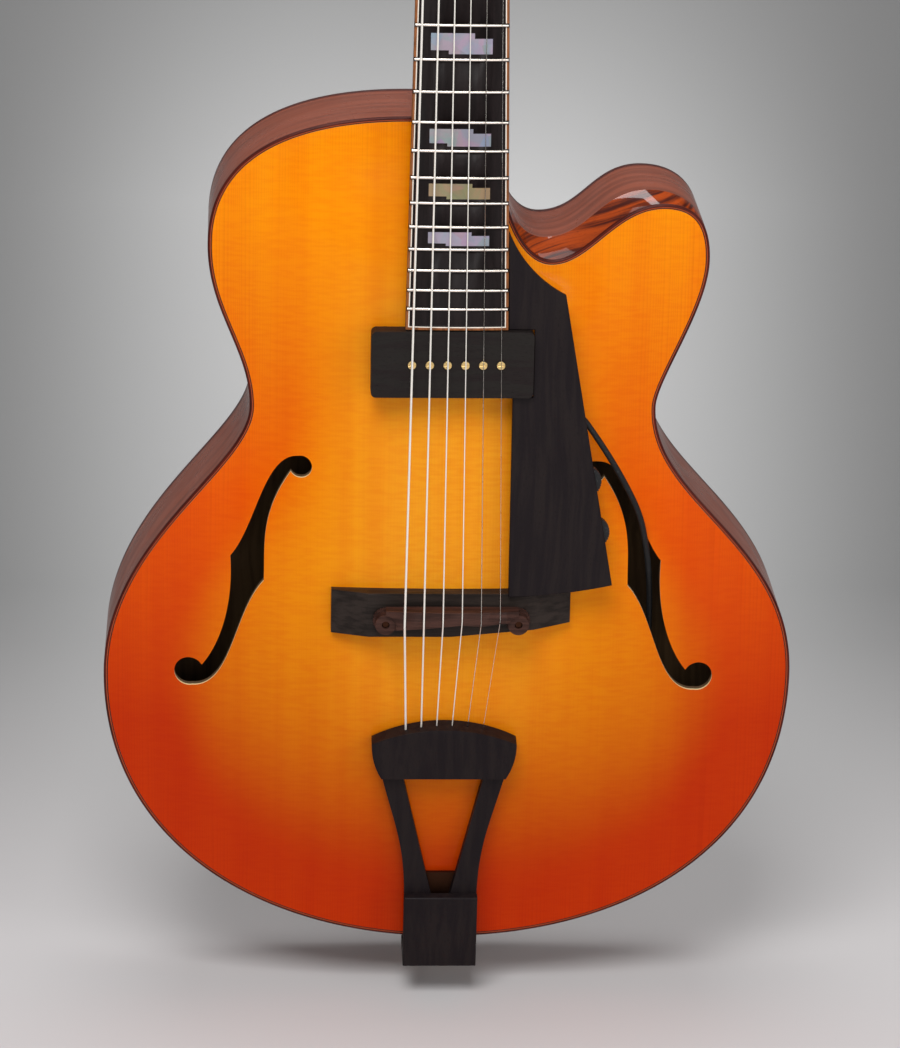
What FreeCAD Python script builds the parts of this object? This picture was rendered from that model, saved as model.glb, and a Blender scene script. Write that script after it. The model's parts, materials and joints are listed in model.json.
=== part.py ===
import FreeCAD, Part
import math
import os

# Archtop guitar with a rounded cutaway, in millimetres.
# +Z runs up the neck, the top faces -Y, x = 0 is the centre line.
# The origin is on the axis of the end jack, where the rim ends at the tail, half way through the rim.

# Body outline, half widths from the centre line
body_length = 503.5
lower_bout_half = 201.5
lower_bout_height = 168.0
waist_half = 116.8
waist_height = 333.0
upper_bout_half = 141.0
upper_bout_drop = 75.0
horn_half = 144.8
horn_drop = 82.5
horn_crest_half = 118.0
horn_crest_drop = 49.8
cutaway_half = 54.5
cutaway_drop = 83.0
neck_joint_half = 27.0
heel_side_drop = 38.5

# Bevelled cutaway: the outline behind the bevel, the bevel's reach below the top,
# and where the treble side's two bent ribs join at the horn
rear_crest_half = 109.4
rear_crest_drop = 43.2
rear_floor_half = 50.4
rear_floor_drop = 71.4
bevel_depth = 8.5
bevel_block_depth = 17.0
rib_joint_half = 113.5

# Body shell
rim_depth = 69.0
plate_thickness = 5.5
top_rise = 17.0
back_rise = 16.0
arch_spread = 50.0
side_thickness = 2.3
binding_width = 2.4
top_binding_height = 2.6
back_binding_height = 6.5
lining_width = 6.0
lining_height = 13.0
glue_gap = 0.1
f_hole_shifts = {-1: (0.0, 2.0), 1: (-5.2, 4.5)}
neck_block_length = 55.0
neck_block_reach = 32.0
tail_block_length = 24.0
tail_block_half = 45.0
tone_bar_width = 6.0
tone_bar_height = 11.0
tone_bar_half_spread = 42.0
tone_bar_tail_gap = 95.0
tone_bar_neck_gap = 110.0

# Neck and fingerboard
scale_length = 647.7
joint_fret = 14
fret_count = 22
joint_fret_lead = 2.0
neck_angle = 3.5
board_lift = 19.0
board_thickness = 6.0
board_width_nut = 43.0
board_width_end = 58.4
board_past_last_fret = 12.4
board_radius = 305.0
board_binding_width = 3.0
fret_width = 2.3
fret_height = 1.1
inlay_frets = (3, 5, 7, 9, 12, 15, 17, 19)
inlay_width = 24.4
inlay_stagger = 10.0
inlay_depth = 1.2
nut_thickness = 5.0
nut_rise = 1.4
neck_depth_nut = 15.0
neck_depth_heel = 17.0
heel_start = 25.0
tongue_gap = 1.5
tongue_inset = 1.0
heel_reach = 75.0
heel_cap_half = 11.5
heel_cap_reach = 16.0
heel_cap_thickness = 2.5

# Headstock
head_angle = 14.0
head_length = 183.0
head_thickness = 15.0
head_face_thickness = 2.0
head_step = 5.5
head_half_throat = 30.0
head_half_top = 37.0
head_throat = 30.0
head_top_corner = 166.0
head_corner_radius = 8.0

# Truss rod
truss_rod_radius = 2.6
truss_rod_depth = 5.5
truss_channel_width = 6.2
truss_nut_corner = 4.2
truss_nut_length = 9.0
truss_pocket_half = 5.0
truss_pocket_length = 24.0
truss_cover_thickness = 1.8
cover_screws = ((-6.8, 6.0), (6.8, 6.0), (0.0, 34.5))

# Tuning machines
post_radius = 3.0
post_half_spread = 20.0
post_first = 45.0
post_step = 43.0
post_height = 11.0
turning_fit = 0.05
bushing_radius = 4.9
bushing_flange_radius = 5.8
bushing_flange_height = 1.5
housing_inboard = 9.0
housing_outboard = 10.5
housing_above = 10.4
housing_below = 6.4
housing_depth = 10.0
housing_wall = 1.2
lug_radius = 3.2
lug_drop = 2.6
gear_radius = 4.6
gear_width = 3.6
gear_teeth = 14
worm_radius = 1.8
worm_gap = 0.4
worm_grooves = 4
end_play = 0.4
key_shaft_radius = 2.0
key_collar_radius = 3.2
key_reach = 17.0
button_half_height = 10.0
button_half_width = 7.5
button_thickness = 7.0
small_screw_radius = 1.2
small_screw_head = 2.2
small_screw_length = 9.0

# Strings, bass to treble
string_diameters = (1.32, 1.07, 0.81, 0.61, 0.41, 0.30)
wound_count = 4
nut_spread = 36.0
saddle_spread = 55.0
tail_spread = 45.0
saddle_rise = 5.2
saddle_setback = (4.6, 3.7, 2.6, 1.4, 2.4, 0.8)
string_touch = 0.05
string_anchor_depth = 9.0
saddle_bend_radius = 8.0
nut_bend_radius = 6.0
slot_fit = 0.15
slot_length = 12.0
wrap_turns = 2.5
wrap_gap = 0.45
wrap_clearance = 0.5
wrap_height = 7.8

# Bridge
bridge_half = 69.3
bridge_flat_half = 48.0
bridge_top_lift = 26.0
bridge_end_lift = 18.5
bridge_above = 10.5
bridge_below = 16.0
bridge_treble_below = 9.5
stud_half_spread = 38.3
stud_drop = 4.3
stud_radius = 2.0
stud_embed = 7.0
stud_top_lift = 36.6
thumbwheel_radius = 7.2
thumbwheel_thickness = 3.0
thumbwheel_gap = 1.7
saddle_seat_gap = 0.2
saddle_lobe_radius = 6.0
saddle_lobe_lift = 38.0
saddle_above = 4.5
saddle_lip = 1.6
saddle_stud_fit = 0.25

# Tailpiece, set a little to the bass side of the centre line
tail_shift = -2.6
tail_angle = 5.2
tail_lift = 5.0
tail_leg_thickness = 6.0
tail_head_thickness = 10.0
tail_head_half = 42.3
tail_head_low_half = 36.4
tail_head_bottom = 113.5
tail_head_shoulder = 137.0
tail_head_crown = 147.5
tail_front_shoulder = 136.4
tail_front_crown = 145.5
tail_window_half = 23.8
tail_window_foot = 28.0
tail_window_foot_half = 4.2
tail_foot_half = 21.5
tail_cover_half = 21.8
tail_cover_top = 35.5
tail_cover_overhang = 11.0
tail_cover_thickness = 6.5
tail_hook_thickness = 5.8
tail_hook_depth = 16.0
bracket_half = 12.0
bracket_thickness = 2.2
bracket_length = 46.0
bracket_drop = 25.0
bracket_screw_half_spread = 7.0
bracket_screw_radius = 1.6
bracket_screw_head = 3.2
bracket_screw_cap = 1.8
bracket_screw_length = 14.0

# Pickguard and controls
guard_angle = 2.33
guard_lift = 29.8
guard_thickness = 3.0
guard_gap = 0.3
guard_inner_half = 32.5
guard_foot_inner = 9.7
guard_foot_outer = 17.0
guard_outer_half = 92.3
guard_corner_half = 61.7
guard_corner_rise = 189.0
guard_tip_rise = 226.0
standoff_width = 14.0
standoff_rise = 42.0
wheel_radius = 9.5
wheel_thickness = 3.6
wheel_overhang = 3.5
wheel_gap = 0.4
volume_rise = 78.5
tone_rise = 48.0
control_radius = 7.0
control_height = 4.0
control_stud_radius = 2.5

# Pickup
pickup_length = 92.3
pickup_width = 39.0
pickup_depth = 11.0
pickup_top_lift = 27.5
pickup_shift = -2.2
pickup_wall = 2.0
pickup_corner = 3.0
pickup_gap = 0.2
coil_length = 78.0
coil_width = 14.0
coil_depth = 7.5
pole_spread = 50.5
pole_head_radius = 2.4
pole_head_height = 0.9
pole_shank_radius = 1.5
pole_length = 8.0
pole_slot = 0.7

# End jack and strap buttons
jack_radius = 6.0
jack_bore_radius = 3.25
jack_bore_length = 30.0
jack_length = 36.0
jack_flange_radius = 9.0
jack_neck_radius = 6.5
jack_button_length = 14.0
jack_nut_radius = 9.0
jack_nut_thickness = 3.0
button_base_radius = 5.5
button_neck_radius = 3.6
button_head_radius = 6.0
button_height = 12.0

# Output lead, from the volume control through the treble f-hole to the end jack: x, lift, z
lead_diameter = 3.5
lead_outside = (
    (67.4, 17.2, 294.2), (48.5, 17.6, 297.5), (37.5, 17.6, 316.0), (47.0, 17.4, 337.0),
    (69.0, 17.2, 338.5), (83.0, 17.0, 319.0), (96.7, 15.4, 296.8), (108.8, 12.0, 272.5),
    (113.2, 7.6, 252.0), (116.3, 0.5, 232.0), (118.2, -8.5, 207.0), (118.5, -14.0, 184.0))
lead_inside = (
    (112.0, -15.5, 156.0), (90.0, -10.5, 120.0), (60.0, -6.5, 94.0), (32.0, -3.0, 82.0),
    (11.0, -0.7, 74.0), (2.0, -0.1, 60.0), (0.0, 0.0, 48.0), (0.0, 0.0, 36.3))
lead_bend_share = 0.45

# Places that follow from the sizes above
half_rim = rim_depth / 2
joint_z = body_length + joint_fret_lead
nut_distance = scale_length * (1 - 2 ** (-joint_fret / 12))
bridge_z = joint_z - (scale_length - nut_distance) * math.cos(math.radians(neck_angle))
board_end = scale_length * (1 - 2 ** (-fret_count / 12)) + board_past_last_fret

# Fineness of the arch and the rim, and a length that reaches past any piece
grid_step = 9.0
samples_per_cubic = 14
far = 400.0


def vec(x, y, z):
    return FreeCAD.Vector(x, y, z)


def turned(origin, angle):
    """A frame at origin, turned about X by angle degrees."""
    return FreeCAD.Placement(origin, FreeCAD.Rotation(vec(1, 0, 0), angle))


neck_frame = turned(vec(0, -half_rim - board_lift, joint_z), -neck_angle)
head_frame = neck_frame.multiply(turned(vec(0, head_step, nut_distance + nut_thickness), -head_angle))
tail_frame = turned(vec(tail_shift, -half_rim - tail_lift, 0), tail_angle)
guard_frame = turned(vec(0, -half_rim - guard_lift, bridge_z), -guard_angle)


def placed(shape, frame):
    moved = shape.copy()
    moved.Placement = frame.multiply(moved.Placement)
    return moved


def front(x, lift, z):
    """A point a given lift in front of the rim's front plane."""
    return vec(x, -half_rim - lift, z)


def box(x0, x1, y0, y1, z0, z1):
    return Part.makeBox(x1 - x0, y1 - y0, z1 - z0, vec(x0, y0, z0))


def rod(radius, start, direction, length):
    return Part.makeCylinder(radius, length, start, direction)


def hex_nut(corner_radius, bore_radius, start, height):
    """Six-sided nut along +Z with a round bore."""
    turns = [math.pi * k / 3 for k in range(6)]
    corners = [start + vec(corner_radius * math.cos(turn), corner_radius * math.sin(turn), 0)
               for turn in turns]
    block = Part.Face(Part.makePolygon(corners + corners[:1])).extrude(vec(0, 0, height))
    return block.cut(rod(bore_radius, start, vec(0, 0, 1), height))


def flat_wire(points, y=0.0):
    """Closed wire of straight lines through (x, z) points at depth y."""
    corners = [vec(x, y, z) for x, z in points]
    return Part.makePolygon(corners + corners[:1])


def plate(points, y0, y1):
    """Solid between y0 and y1 on a straight-sided (x, z) outline."""
    return Part.Face(flat_wire(points, y0)).extrude(vec(0, y1 - y0, 0))


def curve_through(points, first=None, last=None):
    curve = Part.BSplineCurve()
    if first is None:
        curve.interpolate(points)
    else:
        curve.interpolate(Points=points, InitialTangent=first, FinalTangent=last)
    return curve.toShape()


def cubic(start, leave, end, arrive, reach_out, reach_in):
    """Bezier control points; the reaches are shares of the chord along the two directions."""
    chord = math.hypot(end[0] - start[0], end[1] - start[1])
    out = chord * reach_out / math.hypot(*leave)
    back = chord * reach_in / math.hypot(*arrive)
    return (start, (start[0] + leave[0] * out, start[1] + leave[1] * out),
            (end[0] - arrive[0] * back, end[1] - arrive[1] * back), end)


def cubic_edge(controls, y=0.0):
    curve = Part.BezierCurve()
    curve.setPoles([vec(x, y, z) for x, z in controls])
    return curve.toShape()


def cubic_point(controls, t):
    """Point and left-hand unit normal of a Bezier in the (x, z) plane."""
    a, b, c, d = controls
    s = 1 - t
    place = [s ** 3 * a[k] + 3 * s * s * t * b[k] + 3 * s * t * t * c[k] + t ** 3 * d[k] for k in (0, 1)]
    slope = [s * s * (b[k] - a[k]) + 2 * s * t * (c[k] - b[k]) + t * t * (d[k] - c[k]) for k in (0, 1)]
    size = math.hypot(*slope)
    return place, (-slope[1] / size, slope[0] / size)


# Body outline

def rim_cubics():
    """The rim from the bass shoulder, round the tail, to the side of the horn."""
    up, down, right, left = (0, 1), (0, -1), (1, 0), (-1, 0)
    shoulder = (-neck_joint_half, body_length)
    bass_upper = (-upper_bout_half, body_length - upper_bout_drop)
    bass_waist = (-waist_half, waist_height)
    bass_lower = (-lower_bout_half, lower_bout_height)
    treble_lower = (lower_bout_half, lower_bout_height)
    treble_waist = (waist_half, waist_height)
    horn = (horn_half, body_length - horn_drop)
    return (cubic(shoulder, left, bass_upper, down, 0.40, 0.44),
            cubic(bass_upper, down, bass_waist, down, 0.40, 0.34),
            cubic(bass_waist, down, bass_lower, down, 0.20, 0.45),
            cubic(bass_lower, down, (0, 0), right, 0.41, 0.41),
            cubic((0, 0), right, treble_lower, up, 0.41, 0.43),
            cubic(treble_lower, up, treble_waist, up, 0.45, 0.31),
            cubic(treble_waist, up, horn, up, 0.18, 0.32))


def cutaway_cubics(rear):
    """The rim from the side of the horn, over its crest and the cutaway's floor, to the heel.

    The rear outline stands out past the front one, and the bevel joins them."""
    up, left = (0, 1), (-1, 0)
    horn = (horn_half, body_length - horn_drop)
    heel = (neck_joint_half, body_length - heel_side_drop)
    if rear:
        crest = (rear_crest_half, body_length - rear_crest_drop)
        floor = (rear_floor_half, body_length - rear_floor_drop)
        return (cubic(horn, up, crest, left, 0.62, 0.28),
                cubic(crest, left, floor, left, 0.43, 0.39),
                cubic(floor, left, heel, up, 0.41, 0.26))
    crest = (horn_crest_half, body_length - horn_crest_drop)
    floor = (cutaway_half, body_length - cutaway_drop)
    return (cubic(horn, up, crest, left, 0.53, 0.42),
            cubic(crest, left, floor, left, 0.40, 0.29),
            cubic(floor, left, heel, up, 0.32, 0.26))


def outline_points(inset, rear=False):
    """(x, z) points along the rim, moved inwards by inset."""
    points = []
    for controls in rim_cubics() + cutaway_cubics(rear):
        for k in range(samples_per_cubic):
            (x, z), (nx, nz) = cubic_point(controls, k / samples_per_cubic)
            points.append((x + nx * inset, z + nz * inset))
    points.append((neck_joint_half - inset, body_length - heel_side_drop))
    return points


def outline_wire(inset, y, rear=False):
    """Closed rim: the curve round to the horn, the cutaway, the heel side and the neck joint."""
    points = [vec(x, y, z) for x, z in outline_points(inset, rear)]
    horn = samples_per_cubic * len(rim_cubics())
    corner = vec(neck_joint_half - inset, y, body_length - inset)
    rim = curve_through(points[:horn + 1], vec(-1, 0, 0), vec(0, 0, 1))
    cutaway = curve_through(points[horn:], vec(0, 0, 1), vec(0, 0, 1))
    heel_side = Part.LineSegment(points[-1], corner).toShape()
    joint = Part.LineSegment(corner, points[0]).toShape()
    return Part.Wire([rim, cutaway, heel_side, joint])


def outline_prism(inset, y0, y1, rear=False):
    return Part.Face(outline_wire(inset, y0, rear)).extrude(vec(0, y1 - y0, 0))


def outline_ring(outer, inner, y0, y1, rear=False):
    return outline_prism(outer, y0, y1, rear).cut(outline_prism(inner, y0 - 1, y1 + 1, rear))


def make_sides():
    """The bent sides as one ring: straight behind, with the cutaway's bevel and its block in front."""
    front_edge = top_binding_height + glue_gap / 2 - half_rim
    bevel_foot = bevel_depth - half_rim
    block_foot = bevel_block_depth - half_rim
    rear_edge = half_rim - back_binding_height - glue_gap / 2
    outer = [outline_wire(0, front_edge), outline_wire(0, bevel_foot, True),
             outline_wire(0, rear_edge, True)]
    inner = [outline_wire(side_thickness, front_edge - 1), outline_wire(side_thickness, bevel_foot),
             outline_wire(side_thickness, block_foot, True),
             outline_wire(side_thickness, rear_edge + 1, True)]
    return Part.makeLoft(outer, True, True).cut(Part.makeLoft(inner, True, True))


# Arching of the plates

def inside(x, z, loop):
    odd = False
    for (x0, z0), (x1, z1) in zip(loop, loop[1:] + loop[:1]):
        if (z0 > z) != (z1 > z) and x < x0 + (z - z0) / (z1 - z0) * (x1 - x0):
            odd = not odd
    return odd


def arch_grid():
    """Columns of arch height from 0 at the rim to 1: a skin stretched over the outline, with a soft edge."""
    reach_x = max(lower_bout_half, upper_bout_half, horn_half) + 2 * grid_step
    count_x = int(2 * reach_x / grid_step) + 1
    count_z = int((body_length + 4 * grid_step) / grid_step) + 1
    xs = [-reach_x + i * grid_step for i in range(count_x + 1)]
    zs = [-2 * grid_step + k * grid_step for k in range(count_z + 1)]
    loop = outline_points(0) + [(neck_joint_half, body_length)]
    cells = [(i, k) for i in range(1, count_x) for k in range(1, count_z) if inside(xs[i], zs[k], loop)]
    skin = [[0.0] * len(zs) for _ in xs]
    pull = (grid_step / arch_spread) ** 2
    over_step = 1.6
    for _ in range(90):
        for i, k in cells:
            around = skin[i - 1][k] + skin[i + 1][k] + skin[i][k - 1] + skin[i][k + 1]
            skin[i][k] += over_step * ((around + pull) / (4 + pull) - skin[i][k])
    top = max(max(column) for column in skin)
    heights = [[0.5 + 0.5 * math.cos(math.pi * math.sqrt(max(0.0, 1 - u / top))) for u in column]
               for column in skin]
    return xs, zs, heights


arch_x, arch_z, arch_heights = arch_grid()


def arch_face(rise, side):
    """Outer face of a plate; side is -1 for the top and 1 for the back."""
    rows = [[vec(x, side * (half_rim + rise * h), z) for z, h in zip(arch_z, column)]
            for x, column in zip(arch_x, arch_heights)]
    surface = Part.BSplineSurface()
    surface.interpolate(rows)
    return surface.toShape()


top_face = arch_face(top_rise, -1)
back_face = arch_face(back_rise, 1)


def slab(face, start, end):
    """Solid swept by a plate's face between two offsets along Y."""
    moved = face.copy()
    moved.translate(vec(0, start, 0))
    return moved.extrude(vec(0, end - start, 0))


def on_top(shape, gap):
    """Cut away what lies under the arched top, leaving a gap above it."""
    return shape.cut(slab(top_face, -gap, far / 4))


def in_chamber(shape):
    """Keep only what lies between the two plates and inside the sides."""
    clear = plate_thickness + glue_gap
    room = outline_prism(side_thickness + glue_gap, -far / 4, far / 4)
    held = shape.common(room)
    held = held.cut(slab(top_face, clear, -far / 4))
    return held.cut(slab(back_face, -clear, far / 4))


def f_hole_wire(side, y):
    """One f-hole: two round eyes, a flowing stem and a nick on each edge, placed by the bridge line."""
    shift, drop = f_hole_shifts[side]

    def at(x, rise):
        return (side * x + shift, bridge_z + rise - drop)

    def way(x, z):
        return (side * x, z)

    upper_top, upper_corner = at(89.0, 89.5), at(93.1, 80.0)
    lower_corner, lower_foot = at(144.2, -38.8), at(149.7, -51.6)
    outer_nick, inner_nick = at(127.7, 28.4), at(108.3, 14.3)
    edges = [
        cubic(upper_top, way(1, 0), outer_nick, way(0.64, -0.77), 0.27, 0.32),
        cubic(outer_nick, way(-0.07, -1), lower_corner, way(0.63, -0.78), 0.42, 0.25),
        cubic(lower_foot, way(-1, 0), inner_nick, way(-0.67, 0.74), 0.30, 0.34),
        cubic(inner_nick, way(-0.04, 1), upper_corner, way(-0.56, 0.83), 0.31, 0.48)]
    outer_stem, outer_leg, inner_leg, inner_stem = [cubic_edge(controls, y) for controls in edges]
    lower_eye = Part.Arc(*[vec(x, y, z) for x, z in (lower_corner, at(160.2, -43.5), lower_foot)]).toShape()
    upper_eye = Part.Arc(*[vec(x, y, z) for x, z in (upper_corner, at(81.0, 82.0), upper_top)]).toShape()
    return Part.Wire([outer_stem, outer_leg, lower_eye, inner_leg, inner_stem, upper_eye])


def f_hole(side):
    return Part.Face(f_hole_wire(side, -far / 4)).extrude(vec(0, far / 4, 0))


def make_body():
    binding_fit = binding_width + glue_gap / 2
    reach = half_rim + max(top_rise, back_rise) + 5
    top = slab(top_face, 0, plate_thickness).common(outline_prism(binding_fit, -reach, 0))
    for side in (-1, 1):
        top = top.cut(f_hole(side))
    back = slab(back_face, 0, -plate_thickness).common(outline_prism(binding_fit, 0, reach, True))

    jack_hole = rod(jack_radius + glue_gap, vec(0, 0, -5), vec(0, 0, 1), far)
    screw_holes = bracket_screw_shafts(turning_fit)
    sides = make_sides().cut(jack_hole).cut(screw_holes)
    bass_side = sides.common(box(-far, 0, -far, far, -far, 2 * far))
    treble_rib = sides.common(box(0, far, -far, far, -far, 2 * far))
    main_rib = treble_rib.cut(box(0, rib_joint_half + glue_gap, -far, far, waist_height, 2 * far))
    cutaway_rib = treble_rib.common(box(0, rib_joint_half, -far, far, waist_height, 2 * far))
    treble_side = Part.Compound([main_rib, cutaway_rib])

    neck_stock = box(-neck_block_reach, neck_joint_half - side_thickness - 2 * glue_gap, -far / 4, far / 4,
                     body_length - neck_block_length, body_length + 5)
    tail_stock = box(-tail_block_half, tail_block_half, -far / 4, far / 4, -5, tail_block_length)
    neck_block = in_chamber(neck_stock)
    tail_block = in_chamber(tail_stock).cut(jack_hole).cut(screw_holes)

    lining_outer = side_thickness + glue_gap
    lining_edge = half_rim - plate_thickness - glue_gap
    front_lining = outline_ring(lining_outer, lining_outer + lining_width, -lining_edge,
                                lining_height - lining_edge)
    back_lining = outline_ring(lining_outer, lining_outer + lining_width, lining_edge - lining_height,
                               lining_edge, True)
    linings = []
    for lining in (front_lining, back_lining):
        for stock in (neck_stock, tail_stock):
            lining = lining.cut(stock.makeOffsetShape(glue_gap, 0.01))
        linings.extend(lining.Solids)

    bars = []
    for side in (-1, 1):
        low, high = tone_bar_tail_gap, body_length - tone_bar_neck_gap
        middle = side * tone_bar_half_spread
        bar = box(middle - tone_bar_width / 2, middle + tone_bar_width / 2, -far / 4, 0, low, high)
        bar = bar.common(slab(top_face, plate_thickness + glue_gap, plate_thickness + tone_bar_height))
        bars.append(bar)

    front_binding = outline_ring(0, binding_width, -half_rim, top_binding_height - half_rim)
    rear_binding = outline_ring(0, binding_width, half_rim - back_binding_height, half_rim, True)
    return {"top_plate": top, "back_plate": back, "bass_side": bass_side, "treble_side": treble_side,
            "linings": Part.Compound(linings), "neck_block": neck_block, "tail_block": tail_block,
            "tone_bars": Part.Compound(bars), "top_binding": front_binding, "back_binding": rear_binding}


# Neck, in the neck frame: z up from the joint fret, y = 0 on the board's crown, front is -y

def fret_distance(fret):
    """Distance of a fret from the nut."""
    return scale_length * (1 - 2 ** (-fret / 12))


def along(distance):
    """Height in the neck frame of a distance from the nut."""
    return nut_distance - distance


def board_half(distance):
    return (board_width_nut + (board_width_end - board_width_nut) * distance / board_end) / 2


def board_plan(inset, end_inset):
    end = board_end - end_inset
    return [(-board_half(0) + inset, along(0)), (board_half(0) - inset, along(0)),
            (board_half(end) - inset, along(end)), (-board_half(end) + inset, along(end))]


def crown(rise):
    """Cylinder whose face stands a rise above the board's cambered face."""
    return rod(board_radius + rise, vec(0, board_radius, along(board_end) - far), vec(0, 0, 1), 4 * far)


def camber(x):
    """How far the cambered board falls away from its crown at x."""
    return board_radius - math.sqrt(board_radius ** 2 - x ** 2)


def inlay_block(fret):
    """Two staggered rectangles between a fret and the one above it."""
    upper, lower = along(fret_distance(fret - 1)), along(fret_distance(fret))
    gap = upper - lower
    left = box(-inlay_width / 2 - inlay_stagger / 2, inlay_width / 2 - inlay_stagger / 2,
               -5, inlay_depth, upper - 0.73 * gap, upper - 0.23 * gap)
    right = box(-inlay_width / 2 + inlay_stagger / 2, inlay_width / 2 + inlay_stagger / 2,
                -5, inlay_depth, upper - 0.84 * gap, upper - 0.39 * gap)
    return left.fuse(right).removeSplitter()


def make_fingerboard():
    full = plate(board_plan(0, 0), -5, board_thickness).common(crown(0))
    core = plate(board_plan(board_binding_width, board_binding_width), -5, board_thickness)
    board = full.common(core)
    binding = full.cut(core)
    inlays = []
    for fret in inlay_frets:
        block = inlay_block(fret)
        inlays.append(board.common(block))
        board = board.cut(block)
    frets = []
    ring = crown(fret_height).cut(crown(glue_gap / 5))
    for fret in range(1, fret_count + 1):
        distance = fret_distance(fret)
        half = board_half(distance)
        middle = along(distance)
        frets.append(ring.common(box(-half, half, -10, 10, middle - fret_width / 2, middle + fret_width / 2)))
    nut_low, nut_high = along(0), along(-nut_thickness)
    profile = [(board_thickness, nut_low), (-5, nut_low), (-nut_rise, nut_low + 0.8),
               (nut_rise - 1, nut_high), (board_thickness, nut_high)]
    corners = [vec(-board_half(0), y, z) for y, z in profile]
    nut = Part.Face(Part.makePolygon(corners + corners[:1])).extrude(vec(2 * board_half(0), 0, 0))
    nut = nut.common(crown(nut_rise))
    pieces = {"fingerboard": board, "fingerboard_binding": binding, "nut": nut,
              "position_inlays": Part.Compound(inlays), "frets": Part.Compound(frets)}
    nodes = {name: placed(shape, neck_frame) for name, shape in pieces.items()}
    for index in range(len(string_diameters)):
        ends = (saddle_point(index), wrap_point(index, wrap_start(index), 0)[0])
        nodes["nut"] = slotted(nodes["nut"], index, nut_point(index), ends)
    return nodes


def neck_section(height, depth):
    """Half-round neck section under the board at a height in the neck frame."""
    half = board_half(nut_distance - height)
    steps = 8
    arc = [vec(half * math.cos(math.pi * k / steps), board_thickness + depth * math.sin(math.pi * k / steps),
               height) for k in range(steps + 1)]
    return Part.Wire([curve_through(arc), Part.LineSegment(arc[-1], arc[0]).toShape()])


def heel_section(half, reach, y):
    """Tombstone section of the heel at depth y, flat against the body."""
    steps = 8
    arc = [vec(half * math.cos(math.pi * k / steps), y, body_length + reach * math.sin(math.pi * k / steps))
           for k in range(steps + 1)]
    return Part.Wire([curve_through(arc), Part.LineSegment(arc[-1], arc[0]).toShape()])


def make_heel():
    """Heel from under the board to the cap: it narrows and draws in towards the back."""
    shares = ((0.0, 1.0, 1.0), (0.16, 0.93, 0.62), (0.37, 0.62, 0.30), (0.58, 0.30, 0.13),
              (0.80, 0.09, 0.04), (1.0, 0.0, 0.0))
    start = -half_rim - board_lift + board_thickness
    end = half_rim - glue_gap
    wide, deep = neck_joint_half - 0.2, heel_reach
    wires = [heel_section(heel_cap_half + (wide - heel_cap_half) * w,
                          heel_cap_reach + (deep - heel_cap_reach) * d, start + (end - start) * s)
             for s, w, d in shares]
    return Part.makeLoft(wires, True)


def head_plate(y0, y1, low):
    """Headstock outline between two depths: a curved throat, flaring sides and an arched top."""
    half_nut = board_half(0)
    throat, corner = (head_half_throat, head_throat), (head_half_top, head_top_corner)
    throat_bend = ((half_nut + head_half_throat) / 2 - 1.2, head_throat / 2 + 1.2)

    def point(place, side):
        return vec(side * place[0], y0, place[1])

    edges = [Part.LineSegment(point((half_nut, low), -1), point((half_nut, low), 1)).toShape()]
    if low < 0:
        edges.extend(Part.LineSegment(point((half_nut, low), side), point((half_nut, 0), side)).toShape()
                     for side in (-1, 1))
    for side in (-1, 1):
        bend = [point(place, side) for place in ((half_nut, 0), throat_bend, throat)]
        edges.append(Part.Arc(*bend).toShape())
        edges.append(Part.LineSegment(point(throat, side), point(corner, side)).toShape())
    edges.append(Part.Arc(point(corner, -1), vec(0, y0, head_length), point(corner, 1)).toShape())
    outline = Part.Wire(Part.__sortEdges__(edges))
    shape = Part.Face(outline).extrude(vec(0, y1 - y0, 0))
    tips = [edge for edge in shape.Edges if edge.BoundBox.ZLength < 0.01 and edge.BoundBox.XLength < 0.01
            and abs(edge.CenterOfMass.z - head_top_corner) < 0.01]
    return shape.makeFillet(head_corner_radius, tips)


def string_side(index):
    """-1 for the three bass strings, 1 for the three treble ones."""
    return -1 if index < len(string_diameters) / 2 else 1


def post_place(index):
    """Tuning post of a string, as (x, z) in the head frame."""
    rank = min(index, len(string_diameters) - 1 - index)
    return string_side(index) * post_half_spread, post_first + rank * post_step


def cover_face(y):
    """Bell-shaped outline of the truss cover."""
    corners = [vec(9, y, 3), vec(2.5, y, 38), vec(-2.5, y, 38), vec(-9, y, 3)]
    return Part.Face(Part.Wire([
        Part.Arc(corners[0], vec(8.4, y, 20), corners[1]).toShape(),
        Part.LineSegment(corners[1], corners[2]).toShape(),
        Part.Arc(corners[2], vec(-8.4, y, 20), corners[3]).toShape(),
        Part.LineSegment(corners[3], corners[0]).toShape()]))


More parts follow.
